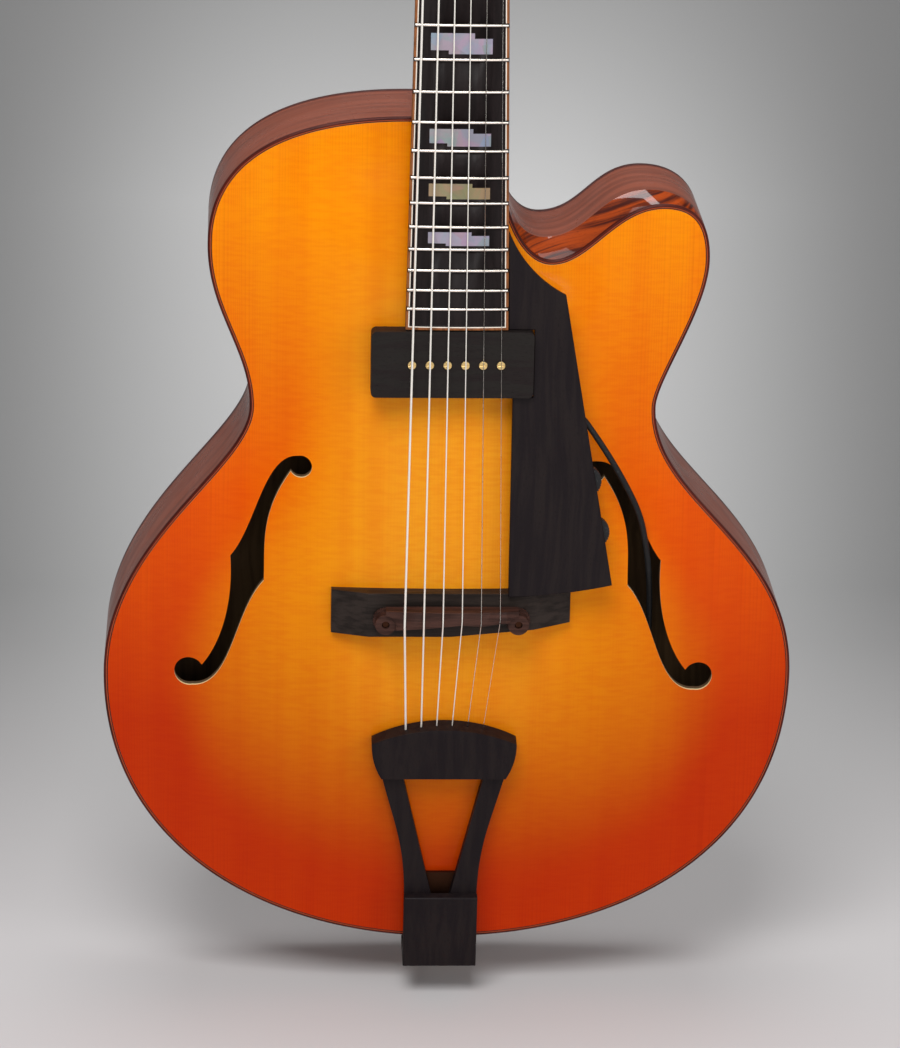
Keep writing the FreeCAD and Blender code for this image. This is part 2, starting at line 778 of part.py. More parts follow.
def make_neck():
    sections = [neck_section(heel_start, neck_depth_heel),
                neck_section((heel_start + nut_distance) / 2, (neck_depth_heel + neck_depth_nut) / 2),
                neck_section(nut_distance, neck_depth_nut)]
    stub = [neck_section(-joint_fret_lead * 2, neck_depth_heel), neck_section(heel_start, neck_depth_heel)]
    shaft = placed(Part.makeLoft(sections, True), neck_frame)
    root = placed(Part.makeLoft(stub, True), neck_frame)
    joint = box(-far, far, -far, far, body_length, 4 * far)
    heel = make_heel().common(joint)

    half_tongue = board_half(nut_distance) - tongue_inset
    half_end = board_half(board_end) - tongue_inset
    tongue_end = along(board_end - board_binding_width)
    tongue = plate([(-half_tongue, joint_fret_lead), (half_tongue, joint_fret_lead),
                    (half_end, tongue_end), (-half_end, tongue_end)], board_thickness, 3 * board_thickness)
    tongue = on_top(placed(tongue, neck_frame), tongue_gap)

    head = placed(head_plate(0, head_thickness, -head_thickness * 1.4), head_frame)
    face = placed(head_plate(-head_face_thickness, 0, 0), head_frame)
    nut_room = placed(box(-far, far, -far, board_thickness, -far, along(-nut_thickness)), neck_frame)

    neck = shaft.fuse([root.common(joint), heel, tongue, head]).cut(nut_room)
    face = face.cut(nut_room)

    rod_y = board_thickness + truss_rod_depth
    rod_low, rod_high = -10.0, along(-nut_thickness - 14)
    truss_rod = rod(truss_rod_radius, vec(0, rod_y, rod_low), vec(0, 0, 1), rod_high - rod_low)
    half_channel = truss_channel_width / 2
    channel = box(-half_channel, half_channel, board_thickness - 1, rod_y + truss_rod_radius + glue_gap,
                  rod_low - glue_gap, rod_high)
    pocket = box(-truss_pocket_half, truss_pocket_half, -far, rod_y + truss_pocket_half,
                 along(-nut_thickness) + glue_gap, along(-nut_thickness - truss_pocket_length))
    nut_start = along(-nut_thickness) + 2
    truss_nut = hex_nut(truss_nut_corner, truss_rod_radius + turning_fit, vec(0, rod_y, nut_start),
                        truss_nut_length)
    for cutter in (channel, pocket):
        neck = neck.cut(placed(cutter, neck_frame))
    face = face.cut(placed(pocket, neck_frame))

    for index in range(len(string_diameters)):
        x, z = post_place(index)
        hole = placed(rod(bushing_radius + glue_gap, vec(x, -far / 4, z), vec(0, 1, 0), far), head_frame)
        neck = neck.cut(hole)
        face = face.cut(hole)
    neck = neck.cut(tuner_screw_shafts(turning_fit)).cut(cover_screw_shafts(turning_fit))
    face = face.cut(cover_screw_shafts(turning_fit))

    cover_y = -head_face_thickness
    cover = placed(cover_face(cover_y).extrude(vec(0, -truss_cover_thickness, 0)), head_frame)
    cover = cover.cut(cover_screw_shafts(turning_fit))
    heads = [placed(rod(small_screw_head, vec(x, cover_y - truss_cover_thickness - 1, z), vec(0, 1, 0), 1),
                    head_frame) for x, z in cover_screws]
    screws = [head_shape.fuse(shaft_shape) for head_shape, shaft_shape
              in zip(heads, cover_screw_shafts(0).Solids)]

    cap_y = half_rim - glue_gap
    cap = Part.Face(heel_section(heel_cap_half, heel_cap_reach, cap_y)).extrude(vec(0, heel_cap_thickness, 0))
    return {"neck": neck, "headstock_face": face, "heel_cap": cap,
            "truss_rod": placed(truss_rod, neck_frame), "truss_nut": placed(truss_nut, neck_frame),
            "truss_cover": cover, "cover_screws": Part.Compound(screws)}


def cover_screw_shafts(fit):
    start = -head_face_thickness - truss_cover_thickness
    shafts = [rod(small_screw_radius + fit, vec(x, start, z), vec(0, 1, 0), small_screw_length)
              for x, z in cover_screws]
    return Part.Compound([placed(shaft, head_frame) for shaft in shafts])


# Tuning machines, in the head frame

def tuner_screw_place(index):
    x, z = post_place(index)
    return x, z - housing_below - lug_drop


def tuner_screw_shafts(fit):
    """Screws that hold the housings, from their lugs into the head."""
    shafts = []
    for index in range(len(string_diameters)):
        x, z = tuner_screw_place(index)
        tip = vec(x, head_thickness + housing_wall - small_screw_length, z)
        shaft = rod(small_screw_radius + fit, tip, vec(0, 1, 0), small_screw_length)
        shafts.append(placed(shaft, head_frame))
    return Part.Compound(shafts)


def worm_place(index):
    """Axis of a key's worm beside its gear, as (y, z)."""
    x, z = post_place(index)
    depth = head_thickness + housing_depth / 2
    return depth, z + gear_radius + worm_radius + worm_gap


def make_tuner(index):
    side = string_side(index)
    x, z = post_place(index)
    axis_y, axis_z = worm_place(index)
    inner, outer = x - side * housing_inboard, x + side * housing_outboard
    x_low, x_high = min(inner, outer), max(inner, outer)
    back, wall = head_thickness, housing_wall
    shell = box(x_low, x_high, back, back + housing_depth, z - housing_below, z + housing_above)
    room = box(x_low + wall, x_high - wall, back + wall, back + housing_depth - wall,
               z - housing_below + wall, z + housing_above - wall)
    lug_z = tuner_screw_place(index)[1]
    lug = rod(lug_radius, vec(x, back, lug_z), vec(0, 1, 0), wall)
    lug = lug.fuse(box(x - lug_radius, x + lug_radius, back, back + wall, lug_z, z - housing_below))
    screw_hole = rod(small_screw_radius + turning_fit, vec(x, back, lug_z), vec(0, 1, 0), wall)
    post_hole = rod(post_radius + turning_fit, vec(x, 0, z), vec(0, 1, 0), back + 2 * wall)
    shaft_hole = rod(key_shaft_radius + turning_fit, vec(x, axis_y, axis_z), vec(side, 0, 0), far / 4)
    housing = shell.fuse(lug).cut(room).cut(screw_hole).cut(post_hole).cut(shaft_hole)

    face_y = -head_face_thickness
    flange = rod(bushing_flange_radius, vec(x, face_y - bushing_flange_height, z), vec(0, 1, 0),
                 bushing_flange_height)
    sleeve = rod(bushing_radius, vec(x, face_y, z), vec(0, 1, 0), back - face_y)
    bore = rod(post_radius + turning_fit, vec(x, -far / 4, z), vec(0, 1, 0), far)
    bushing = flange.fuse(sleeve).cut(bore)

    top_y = face_y - post_height
    gear_y = axis_y - gear_width / 2
    post = rod(post_radius, vec(x, top_y, z), vec(0, 1, 0), gear_y - top_y)
    string_hole = rod(0.9, vec(x - far, face_y - wrap_height - 1.6, z), vec(1, 0, 0), 2 * far)
    gear = rod(gear_radius, vec(x, gear_y, z), vec(0, 1, 0), gear_width)
    for tooth in range(gear_teeth):
        turn = 2 * math.pi * tooth / gear_teeth
        notch = rod(0.5, vec(x + gear_radius * math.cos(turn), gear_y - 1, z + gear_radius * math.sin(turn)),
                    vec(0, 1, 0), gear_width + 2)
        gear = gear.cut(notch)
    post = post.cut(string_hole).fuse(gear)

    outward = vec(side, 0, 0)
    worm_start = side * (abs(inner) + wall + end_play)
    worm_length = abs(outer - worm_start) - wall - end_play
    worm = rod(worm_radius, vec(worm_start, axis_y, axis_z), outward, worm_length)
    for groove in range(1, worm_grooves + 1):
        at = vec(worm_start + side * worm_length * groove / (worm_grooves + 1), axis_y, axis_z)
        ring = rod(worm_radius + 1, at, outward, 1)
        worm = worm.cut(ring.cut(rod(worm_radius - 0.6, at, outward, 1)))
    shaft = rod(key_shaft_radius, vec(outer - side * (wall + end_play), axis_y, axis_z), outward, key_reach)
    collar = rod(key_collar_radius, vec(outer + side * 0.3, axis_y, axis_z), outward, 2.2)
    middle = vec(outer + side * (key_reach - wall + 1.5), axis_y - button_thickness / 2, axis_z)
    oval = Part.Ellipse(vec(middle.x, middle.y, middle.z + button_half_height),
                        vec(middle.x + button_half_width, middle.y, middle.z), middle)
    button = Part.Face(Part.Wire(oval.toShape())).extrude(vec(0, button_thickness, 0))
    button = button.makeFillet(button_thickness * 0.36, button.Edges)
    key = worm.fuse([shaft, collar, button])
    return housing, bushing, post, key


def make_tuners():
    nodes = {}
    housings, bushings, screws = [], [], []
    for index in range(len(string_diameters)):
        housing, bushing, post, key = make_tuner(index)
        housings.append(placed(housing, head_frame))
        bushings.append(placed(bushing, head_frame))
        nodes["tuner_post_%d" % (index + 1)] = placed(post, head_frame)
        nodes["tuner_key_%d" % (index + 1)] = placed(key, head_frame)
        x, z = tuner_screw_place(index)
        cap = rod(small_screw_head, vec(x, head_thickness + housing_wall, z), vec(0, 1, 0), 1.2)
        screws.append(placed(cap, head_frame).fuse(tuner_screw_shafts(0).Solids[index]))
    nodes["tuner_housings"] = Part.Compound(housings)
    nodes["tuner_bushings"] = Part.Compound(bushings)
    nodes["tuner_screws"] = Part.Compound(screws)
    return nodes


# Cords: straight runs joined by tangent arcs

def arc_by_corner(start, corner, end):
    """Arc from start to end whose tangents meet at corner, at equal distances from both."""
    middle = (start + end) * 0.5
    leg = (corner - start).Length
    half_chord = (end - start).Length / 2
    height = (corner - middle).Length
    if height < 1e-6:
        return Part.LineSegment(start, end).toShape()
    crest = middle + (corner - middle) * (half_chord * (leg - half_chord) / (height * height))
    return Part.Arc(start, crest, end).toShape()


def biarc(start, leave, end, arrive):
    """Two tangent arcs from start to end with the given unit directions."""
    span = end - start
    both = leave + arrive
    square = 2 * (1 - leave.dot(arrive))
    reach = span.dot(both)
    if square < 1e-9:
        leg = span.Length / 4
    else:
        leg = (math.sqrt(reach * reach + square * span.dot(span)) - reach) / square
    first, second = start + leave * leg, end - arrive * leg
    middle = (first + second) * 0.5
    return [arc_by_corner(start, first, middle), arc_by_corner(middle, second, end)]


def rounded_route(points, radii):
    """Edges of a route whose inner corners are rounded by the given radii."""
    edges = []
    here = points[0]
    for before, corner, after, radius in zip(points, points[1:], points[2:], radii):
        come, go = (corner - before).normalize(), (after - corner).normalize()
        turn = come.getAngle(go)
        leg = radius * math.tan(turn / 2)
        start, end = corner - come * leg, corner + go * leg
        edges.append(Part.LineSegment(here, start).toShape())
        edges.append(arc_by_corner(start, corner, end))
        here = end
    edges.append(Part.LineSegment(here, points[-1]).toShape())
    return edges


def tube(edges, radius, start, direction):
    """Round tube along a chain of edges."""
    ring = Part.Wire(Part.Circle(start, direction, radius).toShape())
    return Part.Wire(edges).makePipeShell([ring], True, False)


def report_tube(name, shape, edges, radius):
    length = sum(edge.Length for edge in edges)
    ideal = math.pi * radius ** 2 * length
    print("%s: length %.1f, volume over section times length %.4f" % (name, length, shape.Volume / ideal))


# Strings

def string_x(spread, index):
    return -spread / 2 + spread * index / (len(string_diameters) - 1)


def nut_point(index):
    x = string_x(nut_spread, index)
    radius = string_diameters[index] / 2
    return neck_frame.multVec(vec(x, camber(x) - nut_rise - string_touch - radius, along(-0.4)))


def saddle_point(index):
    x = string_x(saddle_spread, index)
    radius = string_diameters[index] / 2
    height = along(scale_length + saddle_setback[index])
    return neck_frame.multVec(vec(x, camber(x) - saddle_rise - string_touch - radius, height))


def tail_point(index):
    """Where a string goes into the bevelled front of the tailpiece head."""
    x = string_x(tail_spread, index)
    share = 1 - (x / tail_head_half) ** 2
    z = tail_head_shoulder + (tail_head_crown - tail_head_shoulder) * share
    return tail_frame.multVec(vec(x, -tail_head_thickness * 0.45, z - 2))


def tail_direction(index):
    return (tail_point(index) - saddle_point(index)).normalize()


def slotted(shape, index, bend, ends):
    """Cut a string's slot into the nut or the saddle, along the string on both sides of its bend."""
    for end in ends:
        shape = shape.cut(rod(string_diameters[index] / 2 + slot_fit, bend, end - bend, slot_length))
    return shape


def wrap_point(index, start_angle, turn):
    """Point and direction of the winding on a post after a turn in radians, in the head frame."""
    x, z = post_place(index)
    way = -string_side(index)
    radius = post_radius + wrap_clearance + string_diameters[index] / 2
    pitch = string_diameters[index] + wrap_gap
    angle = start_angle + way * turn
    sunk = pitch * turn / (2 * math.pi)
    place = vec(x + radius * math.cos(angle), -head_face_thickness - wrap_height + sunk,
                z + radius * math.sin(angle))
    heading = vec(-way * radius * math.sin(angle), pitch / (2 * math.pi), way * radius * math.cos(angle))
    return head_frame.multVec(place), head_frame.Rotation.multVec(heading.normalize())


def wrap_start(index):
    """Angle on the post where the string from the nut first touches its winding circle."""
    x, z = post_place(index)
    nut = head_frame.inverse().multVec(nut_point(index))
    radius = post_radius + wrap_clearance + string_diameters[index] / 2
    away = math.atan2(nut.z - z, nut.x - x)
    opening = math.acos(radius / math.hypot(nut.x - x, nut.z - z))
    return away - string_side(index) * opening


def make_string(index):
    radius = string_diameters[index] / 2
    direction = tail_direction(index)
    anchor = tail_point(index) + direction * string_anchor_depth
    start_angle = wrap_start(index)
    touch, _ = wrap_point(index, start_angle, 0)
    nut = nut_point(index)
    lead_in = touch - (touch - nut).normalize() * 4
    points = [anchor, saddle_point(index), nut, lead_in]
    edges = rounded_route(points, (saddle_bend_radius, nut_bend_radius))
    here, heading = lead_in, (lead_in - nut).normalize()
    quarters = int(round(4 * wrap_turns))
    for quarter in range(1, quarters + 1):
        place, way = wrap_point(index, start_angle, quarter * math.pi / 2)
        edges.extend(biarc(here, heading, place, way))
        here, heading = place, way
    shape = tube(edges, radius, anchor, points[1] - anchor)
    report_tube("string %d" % (index + 1), shape, edges, radius)
    steps = int(48 * wrap_turns)
    spots = [wrap_point(index, start_angle, 2 * math.pi * wrap_turns * k / steps)[0]
             for k in range(steps + 1)]
    least = min(a.distanceToPoint(b) for k, a in enumerate(spots) for b in spots[k + 24:])
    print("string %d: least gap between turns %.2f" % (index + 1, least - 2 * radius))
    return shape


def make_strings():
    made = [make_string(index) for index in range(len(string_diameters))]
    return {"wound_strings": Part.Compound(made[:wound_count]),
            "plain_strings": Part.Compound(made[wound_count:])}


# Bridge

def make_bridge():
    plan = [(-bridge_half, bridge_z - bridge_below), (0, bridge_z - bridge_below),
            (bridge_half, bridge_z - bridge_treble_below), (bridge_half, bridge_z + bridge_above),
            (-bridge_half, bridge_z + bridge_above)]
    profile = [(-bridge_half, -20), (bridge_half, -20), (bridge_half, bridge_end_lift),
               (bridge_flat_half, bridge_top_lift), (-bridge_flat_half, bridge_top_lift),
               (-bridge_half, bridge_end_lift)]
    corners = [front(x, lift, bridge_z - far / 2) for x, lift in profile]
    bar = Part.Face(Part.makePolygon(corners + corners[:1])).extrude(vec(0, 0, far))
    base = on_top(bar.common(plate(plan, -far, far)), glue_gap)

    stud_z = bridge_z - stud_drop
    stud_low = bridge_top_lift - stud_embed
    wheel_low = bridge_top_lift + thumbwheel_gap
    saddle_low = wheel_low + thumbwheel_thickness + saddle_seat_gap
    forward = vec(0, -1, 0)
    lip = [(string_x(saddle_spread, index), bridge_z - saddle_setback[index] - saddle_lip)
           for index in range(len(string_diameters))]
    saddle_plan = ([(-stud_half_spread, lip[0][1] - 1)] + lip +
                   [(stud_half_spread, lip[-1][1]), (stud_half_spread, bridge_z + saddle_above),
                    (-stud_half_spread, bridge_z + saddle_above)])
    saddle = plate(saddle_plan, -half_rim - saddle_low - far / 4, -half_rim - saddle_low)
    saddle = saddle.common(placed(crown(saddle_rise), neck_frame))
    studs, wheels = [], []
    for side in (-1, 1):
        x = side * stud_half_spread
        lobe = rod(saddle_lobe_radius, front(x, saddle_low, stud_z), forward, saddle_lobe_lift - saddle_low)
        shoulder = rod(saddle_lobe_radius, front(x, saddle_lobe_lift, stud_z), forward, far / 4)
        saddle = saddle.cut(shoulder).fuse(lobe)
    for side in (-1, 1):
        x = side * stud_half_spread
        saddle = saddle.cut(rod(stud_radius + saddle_stud_fit, front(x, 0, stud_z), forward, far / 4))
        stud = rod(stud_radius, front(x, stud_low, stud_z), forward, stud_top_lift - stud_low)
        base = base.cut(rod(stud_radius, front(x, stud_low, stud_z), forward, far / 4))
        wheel = rod(thumbwheel_radius, front(x, wheel_low, stud_z), forward, thumbwheel_thickness)
        for notch in range(24):
            turn = 2 * math.pi * notch / 24
            at = front(x + thumbwheel_radius * math.cos(turn), wheel_low - 1,
                       stud_z + thumbwheel_radius * math.sin(turn))
            wheel = wheel.cut(rod(0.4, at, forward, thumbwheel_thickness + 2))
        wheel = wheel.cut(rod(stud_radius + turning_fit, front(x, 0, stud_z), forward, far / 4))
        studs.append(stud)
        wheels.append(wheel)
    for index in range(len(string_diameters)):
        saddle = slotted(saddle, index, saddle_point(index), (nut_point(index), tail_point(index)))
    return {"bridge_base": base, "bridge_saddle": saddle, "bridge_studs": Part.Compound(studs),
            "bass_thumbwheel": wheels[0], "treble_thumbwheel": wheels[1]}


# Tailpiece, in the tail frame: y = 0 on its underside

def tail_head_wire(y, shoulder, crest):
    low = [vec(tail_head_low_half, y, tail_head_bottom), vec(-tail_head_low_half, y, tail_head_bottom)]
    ends = [vec(tail_head_half, y, shoulder), vec(-tail_head_half, y, shoulder)]
    bulge = [vec(side * (tail_head_half - 1.2), y, (shoulder + tail_head_bottom) / 2) for side in (1, -1)]
    return Part.Wire([
        Part.LineSegment(low[1], low[0]).toShape(),
        Part.Arc(low[0], bulge[0], ends[0]).toShape(),
        Part.Arc(ends[0], vec(0, y, crest), ends[1]).toShape(),
        Part.Arc(ends[1], bulge[1], low[1]).toShape()])


def tail_leg_curve(side):
    """Outer edge of a leg, drawing in from the head to the foot."""
    return cubic((side * tail_head_low_half, tail_head_bottom + 1), (-side * 0.25, -1),
                 (side * tail_foot_half, tail_cover_top), (-side * 0.02, -1), 0.40, 0.42)


def bracket_screw_shafts(fit):
    """Two screws through the bracket into the tail block."""
    start = -bracket_thickness - glue_gap
    middle = -half_rim + bracket_drop * 0.62
    shafts = []
    for side in (-1, 1):
        foot = vec(tail_shift + side * bracket_screw_half_spread, middle, start)
        shafts.append(rod(bracket_screw_radius + fit, foot, vec(0, 0, 1), bracket_screw_length))
    return Part.Compound(shafts)


def make_tailpiece():
    back = tail_head_wire(0, tail_head_shoulder, tail_head_crown)
    face = tail_head_wire(-tail_head_thickness, tail_front_shoulder, tail_front_crown)
    head = Part.makeLoft([back, face], True, True)
    foot_z = -1.0
    right = cubic_edge(tail_leg_curve(1))
    left = cubic_edge(tail_leg_curve(-1))
    ends = [vec(side * tail_head_low_half, 0, tail_head_bottom + 1) for side in (1, -1)]
    hips = [vec(tail_foot_half, 0, tail_cover_top), vec(-tail_foot_half, 0, tail_cover_top)]
    feet = [vec(tail_foot_half, 0, foot_z), vec(-tail_foot_half, 0, foot_z)]
    wire = Part.Wire([Part.LineSegment(ends[1], ends[0]).toShape(), right,
                      Part.LineSegment(hips[0], feet[0]).toShape(),
                      Part.LineSegment(feet[0], feet[1]).toShape(),
                      Part.LineSegment(feet[1], hips[1]).toShape(), left])
    legs = Part.Face(wire).extrude(vec(0, -tail_leg_thickness, 0))
    window = plate([(-tail_window_half, tail_head_bottom), (tail_window_half, tail_head_bottom),
                    (tail_window_foot_half, tail_window_foot), (-tail_window_foot_half, tail_window_foot)],
                   -far, far)
    body = placed(head.fuse(legs.cut(window)), tail_frame)
    for index in range(len(string_diameters)):
        direction = tail_direction(index)
        hole = rod(string_diameters[index] / 2 + 0.3, tail_point(index) - direction * 12, direction,
                   string_anchor_depth + 12.5)
        body = body.cut(hole)

    cover_back = -tail_leg_thickness - glue_gap
    cover = box(-tail_cover_half, tail_cover_half, cover_back - tail_cover_thickness, cover_back,
                -tail_cover_overhang, tail_cover_top)
    hook = box(-tail_cover_half, tail_cover_half, cover_back, tail_hook_depth, -tail_cover_overhang,
               tail_hook_thickness - tail_cover_overhang)
    cover = cover.fuse(hook)
    edge_bevel = 0.6
    cover = cover.makeChamfer(edge_bevel, [edge for edge in cover.Edges
                                           if edge.BoundBox.YMax < cover_back - tail_cover_thickness + 0.01])
    cover = placed(cover, tail_frame)

    gap = glue_gap
    strap = placed(box(-bracket_half, bracket_half, gap, gap + bracket_thickness,
                       -bracket_thickness - gap, bracket_length), tail_frame)
    leg = box(tail_shift - bracket_half, tail_shift + bracket_half, -half_rim - tail_lift + gap,
              bracket_drop - half_rim, -bracket_thickness - gap, -gap)
    bracket = strap.fuse(leg).cut(bracket_screw_shafts(turning_fit))
    screws = []
    for shaft in bracket_screw_shafts(0).Solids:
        middle = shaft.CenterOfMass
        cap_start = vec(middle.x, middle.y, -bracket_thickness - gap - bracket_screw_cap)
        cap = rod(bracket_screw_head, cap_start, vec(0, 0, 1), bracket_screw_cap)
        screws.append(cap.fuse(shaft))
    return {"tailpiece": body, "tailpiece_cover": cover, "tailpiece_bracket": bracket,
            "bracket_screws": Part.Compound(screws)}


# Pickguard and controls, in the guard frame: y = 0 on its front face, z up from the bridge line

def guard_edge(rise):
    """x of the guard's outer edge at a rise."""
    share = (rise - guard_foot_outer) / (guard_corner_rise - guard_foot_outer)
    return guard_outer_half + (guard_corner_half - guard_outer_half) * share


def board_edge_at(rise):
    """x of the fingerboard's treble edge at a rise above the bridge line."""
    return board_half(nut_distance + (joint_z - bridge_z) - rise)


def control_place(rise):
    return guard_edge(rise) + wheel_overhang - wheel_radius, rise


def pickup_span():
    """Lowest and highest z of the pickup cover, under the end of the fingerboard."""
    end = neck_frame.multVec(vec(0, board_thickness, along(board_end))).z
    return end - pickup_gap - pickup_width, end - pickup_gap


def make_guard():
    low, high = pickup_span()
    notch_low, notch_high = low - bridge_z - guard_gap, high - bridge_z + guard_gap
    notch_x = pickup_shift + pickup_length / 2 + guard_gap
    tip_x = board_edge_at(guard_tip_rise) + guard_gap
    board_x = board_edge_at(notch_high) + guard_gap
    tip = vec(tip_x, 0, guard_tip_rise)
    corner = vec(guard_corner_half, 0, guard_corner_rise)
    foot = vec(guard_outer_half, 0, guard_foot_outer)
    inner = vec(guard_inner_half, 0, guard_foot_inner)
    shoulder_bend = vec((tip_x + guard_corner_half) / 2 - 3.5, 0,
                        (guard_tip_rise + guard_corner_rise) / 2 - 3)
    foot_bend = vec((guard_outer_half + guard_inner_half) / 2, 0,
                    (guard_foot_outer + guard_foot_inner) / 2 - 1.4)
    steps = [inner, vec(guard_inner_half, 0, notch_low), vec(notch_x, 0, notch_low),
             vec(notch_x, 0, notch_high), vec(board_x, 0, notch_high), tip]
    edges = [Part.LineSegment(a, b).toShape() for a, b in zip(steps, steps[1:])]
    edges.append(Part.Arc(tip, shoulder_bend, corner).toShape())
    edges.append(Part.LineSegment(corner, foot).toShape())
    edges.append(Part.Arc(foot, foot_bend, inner).toShape())
    guard = Part.Face(Part.Wire(edges)).extrude(vec(0, guard_thickness, 0))

    post_x = (guard_inner_half + guard_outer_half) / 2 - standoff_width / 2
    standoff = box(post_x - standoff_width / 2, post_x + standoff_width / 2,
                   guard_thickness + glue_gap, far / 8,
                   standoff_rise - standoff_width / 2, standoff_rise + standoff_width / 2)
    nodes = {"pickguard": placed(guard, guard_frame),
             "guard_standoff": on_top(placed(standoff, guard_frame), glue_gap)}
    controls = []
    inward = vec(0, 1, 0)
    for name, rise in (("volume_wheel", volume_rise), ("tone_wheel", tone_rise)):
        x, z = control_place(rise)
        wheel_y = guard_thickness + wheel_gap
        body_y = wheel_y + wheel_thickness + wheel_gap
        wheel = rod(wheel_radius, vec(x, wheel_y, z), inward, wheel_thickness)
        for notch in range(36):
            turn = 2 * math.pi * notch / 36
            at = vec(x + wheel_radius * math.cos(turn), wheel_y - 1, z + wheel_radius * math.sin(turn))
            wheel = wheel.cut(rod(0.35, at, inward, wheel_thickness + 2))
        wheel = wheel.cut(rod(control_stud_radius + turning_fit, vec(x, 0, z), inward, far))
        stud = rod(control_stud_radius, vec(x, guard_thickness + glue_gap, z), inward,
                   body_y - guard_thickness)
        control = rod(control_radius, vec(x, body_y, z), inward, control_height).fuse(stud)
        nodes[name] = placed(wheel, guard_frame)
        controls.append(placed(control, guard_frame))
    nodes["controls"] = Part.Compound(controls)
    return nodes


# Pickup

def make_pickup():
    low, high = pickup_span()
    left, right = pickup_shift - pickup_length / 2, pickup_shift + pickup_length / 2
    top_y = -half_rim - pickup_top_lift
    bottom_y = top_y + pickup_depth
    outer = box(left, right, top_y, bottom_y, low, high)
    corners = [edge for edge in outer.Edges if edge.BoundBox.XLength < 0.01 and edge.BoundBox.ZLength < 0.01]
    outer = outer.makeFillet(pickup_corner, corners)
    wall = pickup_wall
    cover = outer.cut(box(left + wall, right - wall, top_y + wall, bottom_y + 1, low + wall, high - wall))
    middle = (low + high) / 2
    coil_y = top_y + wall + glue_gap
    coil = box(pickup_shift - coil_length / 2, pickup_shift + coil_length / 2, coil_y, coil_y + coil_depth,
               middle - coil_width / 2, middle + coil_width / 2)
    poles = []
    for index in range(len(string_diameters)):
        x = string_x(pole_spread, index)
        shank = rod(pole_shank_radius, vec(x, top_y, middle), vec(0, 1, 0), pole_length)
        head = rod(pole_head_radius, vec(x, top_y - pole_head_height, middle), vec(0, 1, 0), pole_head_height)
        slot = box(x - 5, x + 5, top_y - 5, top_y - pole_head_height / 2, middle - pole_slot / 2,
                   middle + pole_slot / 2)
        poles.append(head.cut(slot).fuse(shank))
        hole = rod(pole_shank_radius + turning_fit, vec(x, top_y - 1, middle), vec(0, 1, 0),
                   pole_length + 1.5)
        cover = cover.cut(hole)
        coil = coil.cut(hole)
    return {"pickup_cover": cover, "pickup_coil": coil, "pole_screws": Part.Compound(poles)}


# End jack, heel button and lead

def turned_profile(points, start, direction):
    """Solid turned from (radius, distance) points about an axis along a row axis."""
    corners = [vec(r, 0, d) for r, d in points]
    face = Part.Face(Part.makePolygon(corners + corners[:1]))
    solid = face.revolve(vec(0, 0, 0), vec(0, 0, 1), 360)
    frame = FreeCAD.Placement(start, FreeCAD.Rotation(vec(0, 0, 1), direction))
    return placed(solid, frame)


def make_jack():
    r, tip = jack_bore_radius, -jack_button_length
    profile = [(r, tip), (jack_flange_radius - 1, tip), (jack_flange_radius - 1, tip + 3),
               (jack_neck_radius, tip + 5), (jack_neck_radius, -4), (jack_flange_radius, -2.5),
               (jack_flange_radius, -glue_gap), (jack_radius, -glue_gap), (jack_radius, jack_length),
               (1, jack_length), (1, tip + jack_bore_length + 1), (r, tip + jack_bore_length)]
    jack = turned_profile(profile, vec(0, 0, 0), vec(0, 0, 1))
    nut = hex_nut(jack_nut_radius, jack_radius + turning_fit, vec(0, 0, tail_block_length + glue_gap),
                  jack_nut_thickness)
    base = vec(0, half_rim - glue_gap + heel_cap_thickness + glue_gap, body_length + heel_cap_reach * 0.45)
    height = button_height
    button = turned_profile([(0, 0), (button_base_radius, 0), (button_neck_radius, height * 0.3),
                             (button_neck_radius, height * 0.6), (button_head_radius, height * 0.8),
                             (button_head_radius, height), (0, height)], base, vec(0, 1, 0))
    return {"end_jack": jack, "jack_nut": nut, "heel_button": button}


def make_lead():
    points = [front(*place) for place in lead_outside] + [vec(*place) for place in lead_inside]
    radii = []
    for before, corner, after in zip(points, points[1:], points[2:]):
        turn = (corner - before).getAngle(after - corner)
        run = min((corner - before).Length, (after - corner).Length)
        radii.append(lead_bend_share * run / math.tan(turn / 2) if turn > 1e-3 else 1.0)
    print("lead bend radii", " ".join("%.0f" % radius for radius in radii))
    edges = rounded_route(points, radii)
    shape = tube(edges, lead_diameter / 2, points[0], points[1] - points[0])
    report_tube("output lead", shape, edges, lead_diameter / 2)
    return {"output_lead": shape}


os.makedirs("parts", exist_ok=True)
for group in (make_body, make_fingerboard, make_neck, make_tuners, make_strings, make_bridge, make_tailpiece,
              make_guard, make_pickup, make_jack, make_lead):
    for node, shape in group().items():
        shape.exportStep("parts/%s.step" % node)
        state = "valid" if shape.isValid() else "NOT VALID"
        print(node, len(shape.Solids), "solids", state, round(shape.Volume, 1))
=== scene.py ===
"""Looks of an archtop guitar: lacquered plates, streaked sides, ebony fittings, strings and metal work.

Every piece is in metres in the part's own frame: +Z up the neck, the top faces -Y, x = 0 is the centre line.
"""

import json
import math

import bmesh
import bpy
import numpy as np
from mathutils import Matrix, Vector
from mathutils.geometry import delaunay_2d_cdt


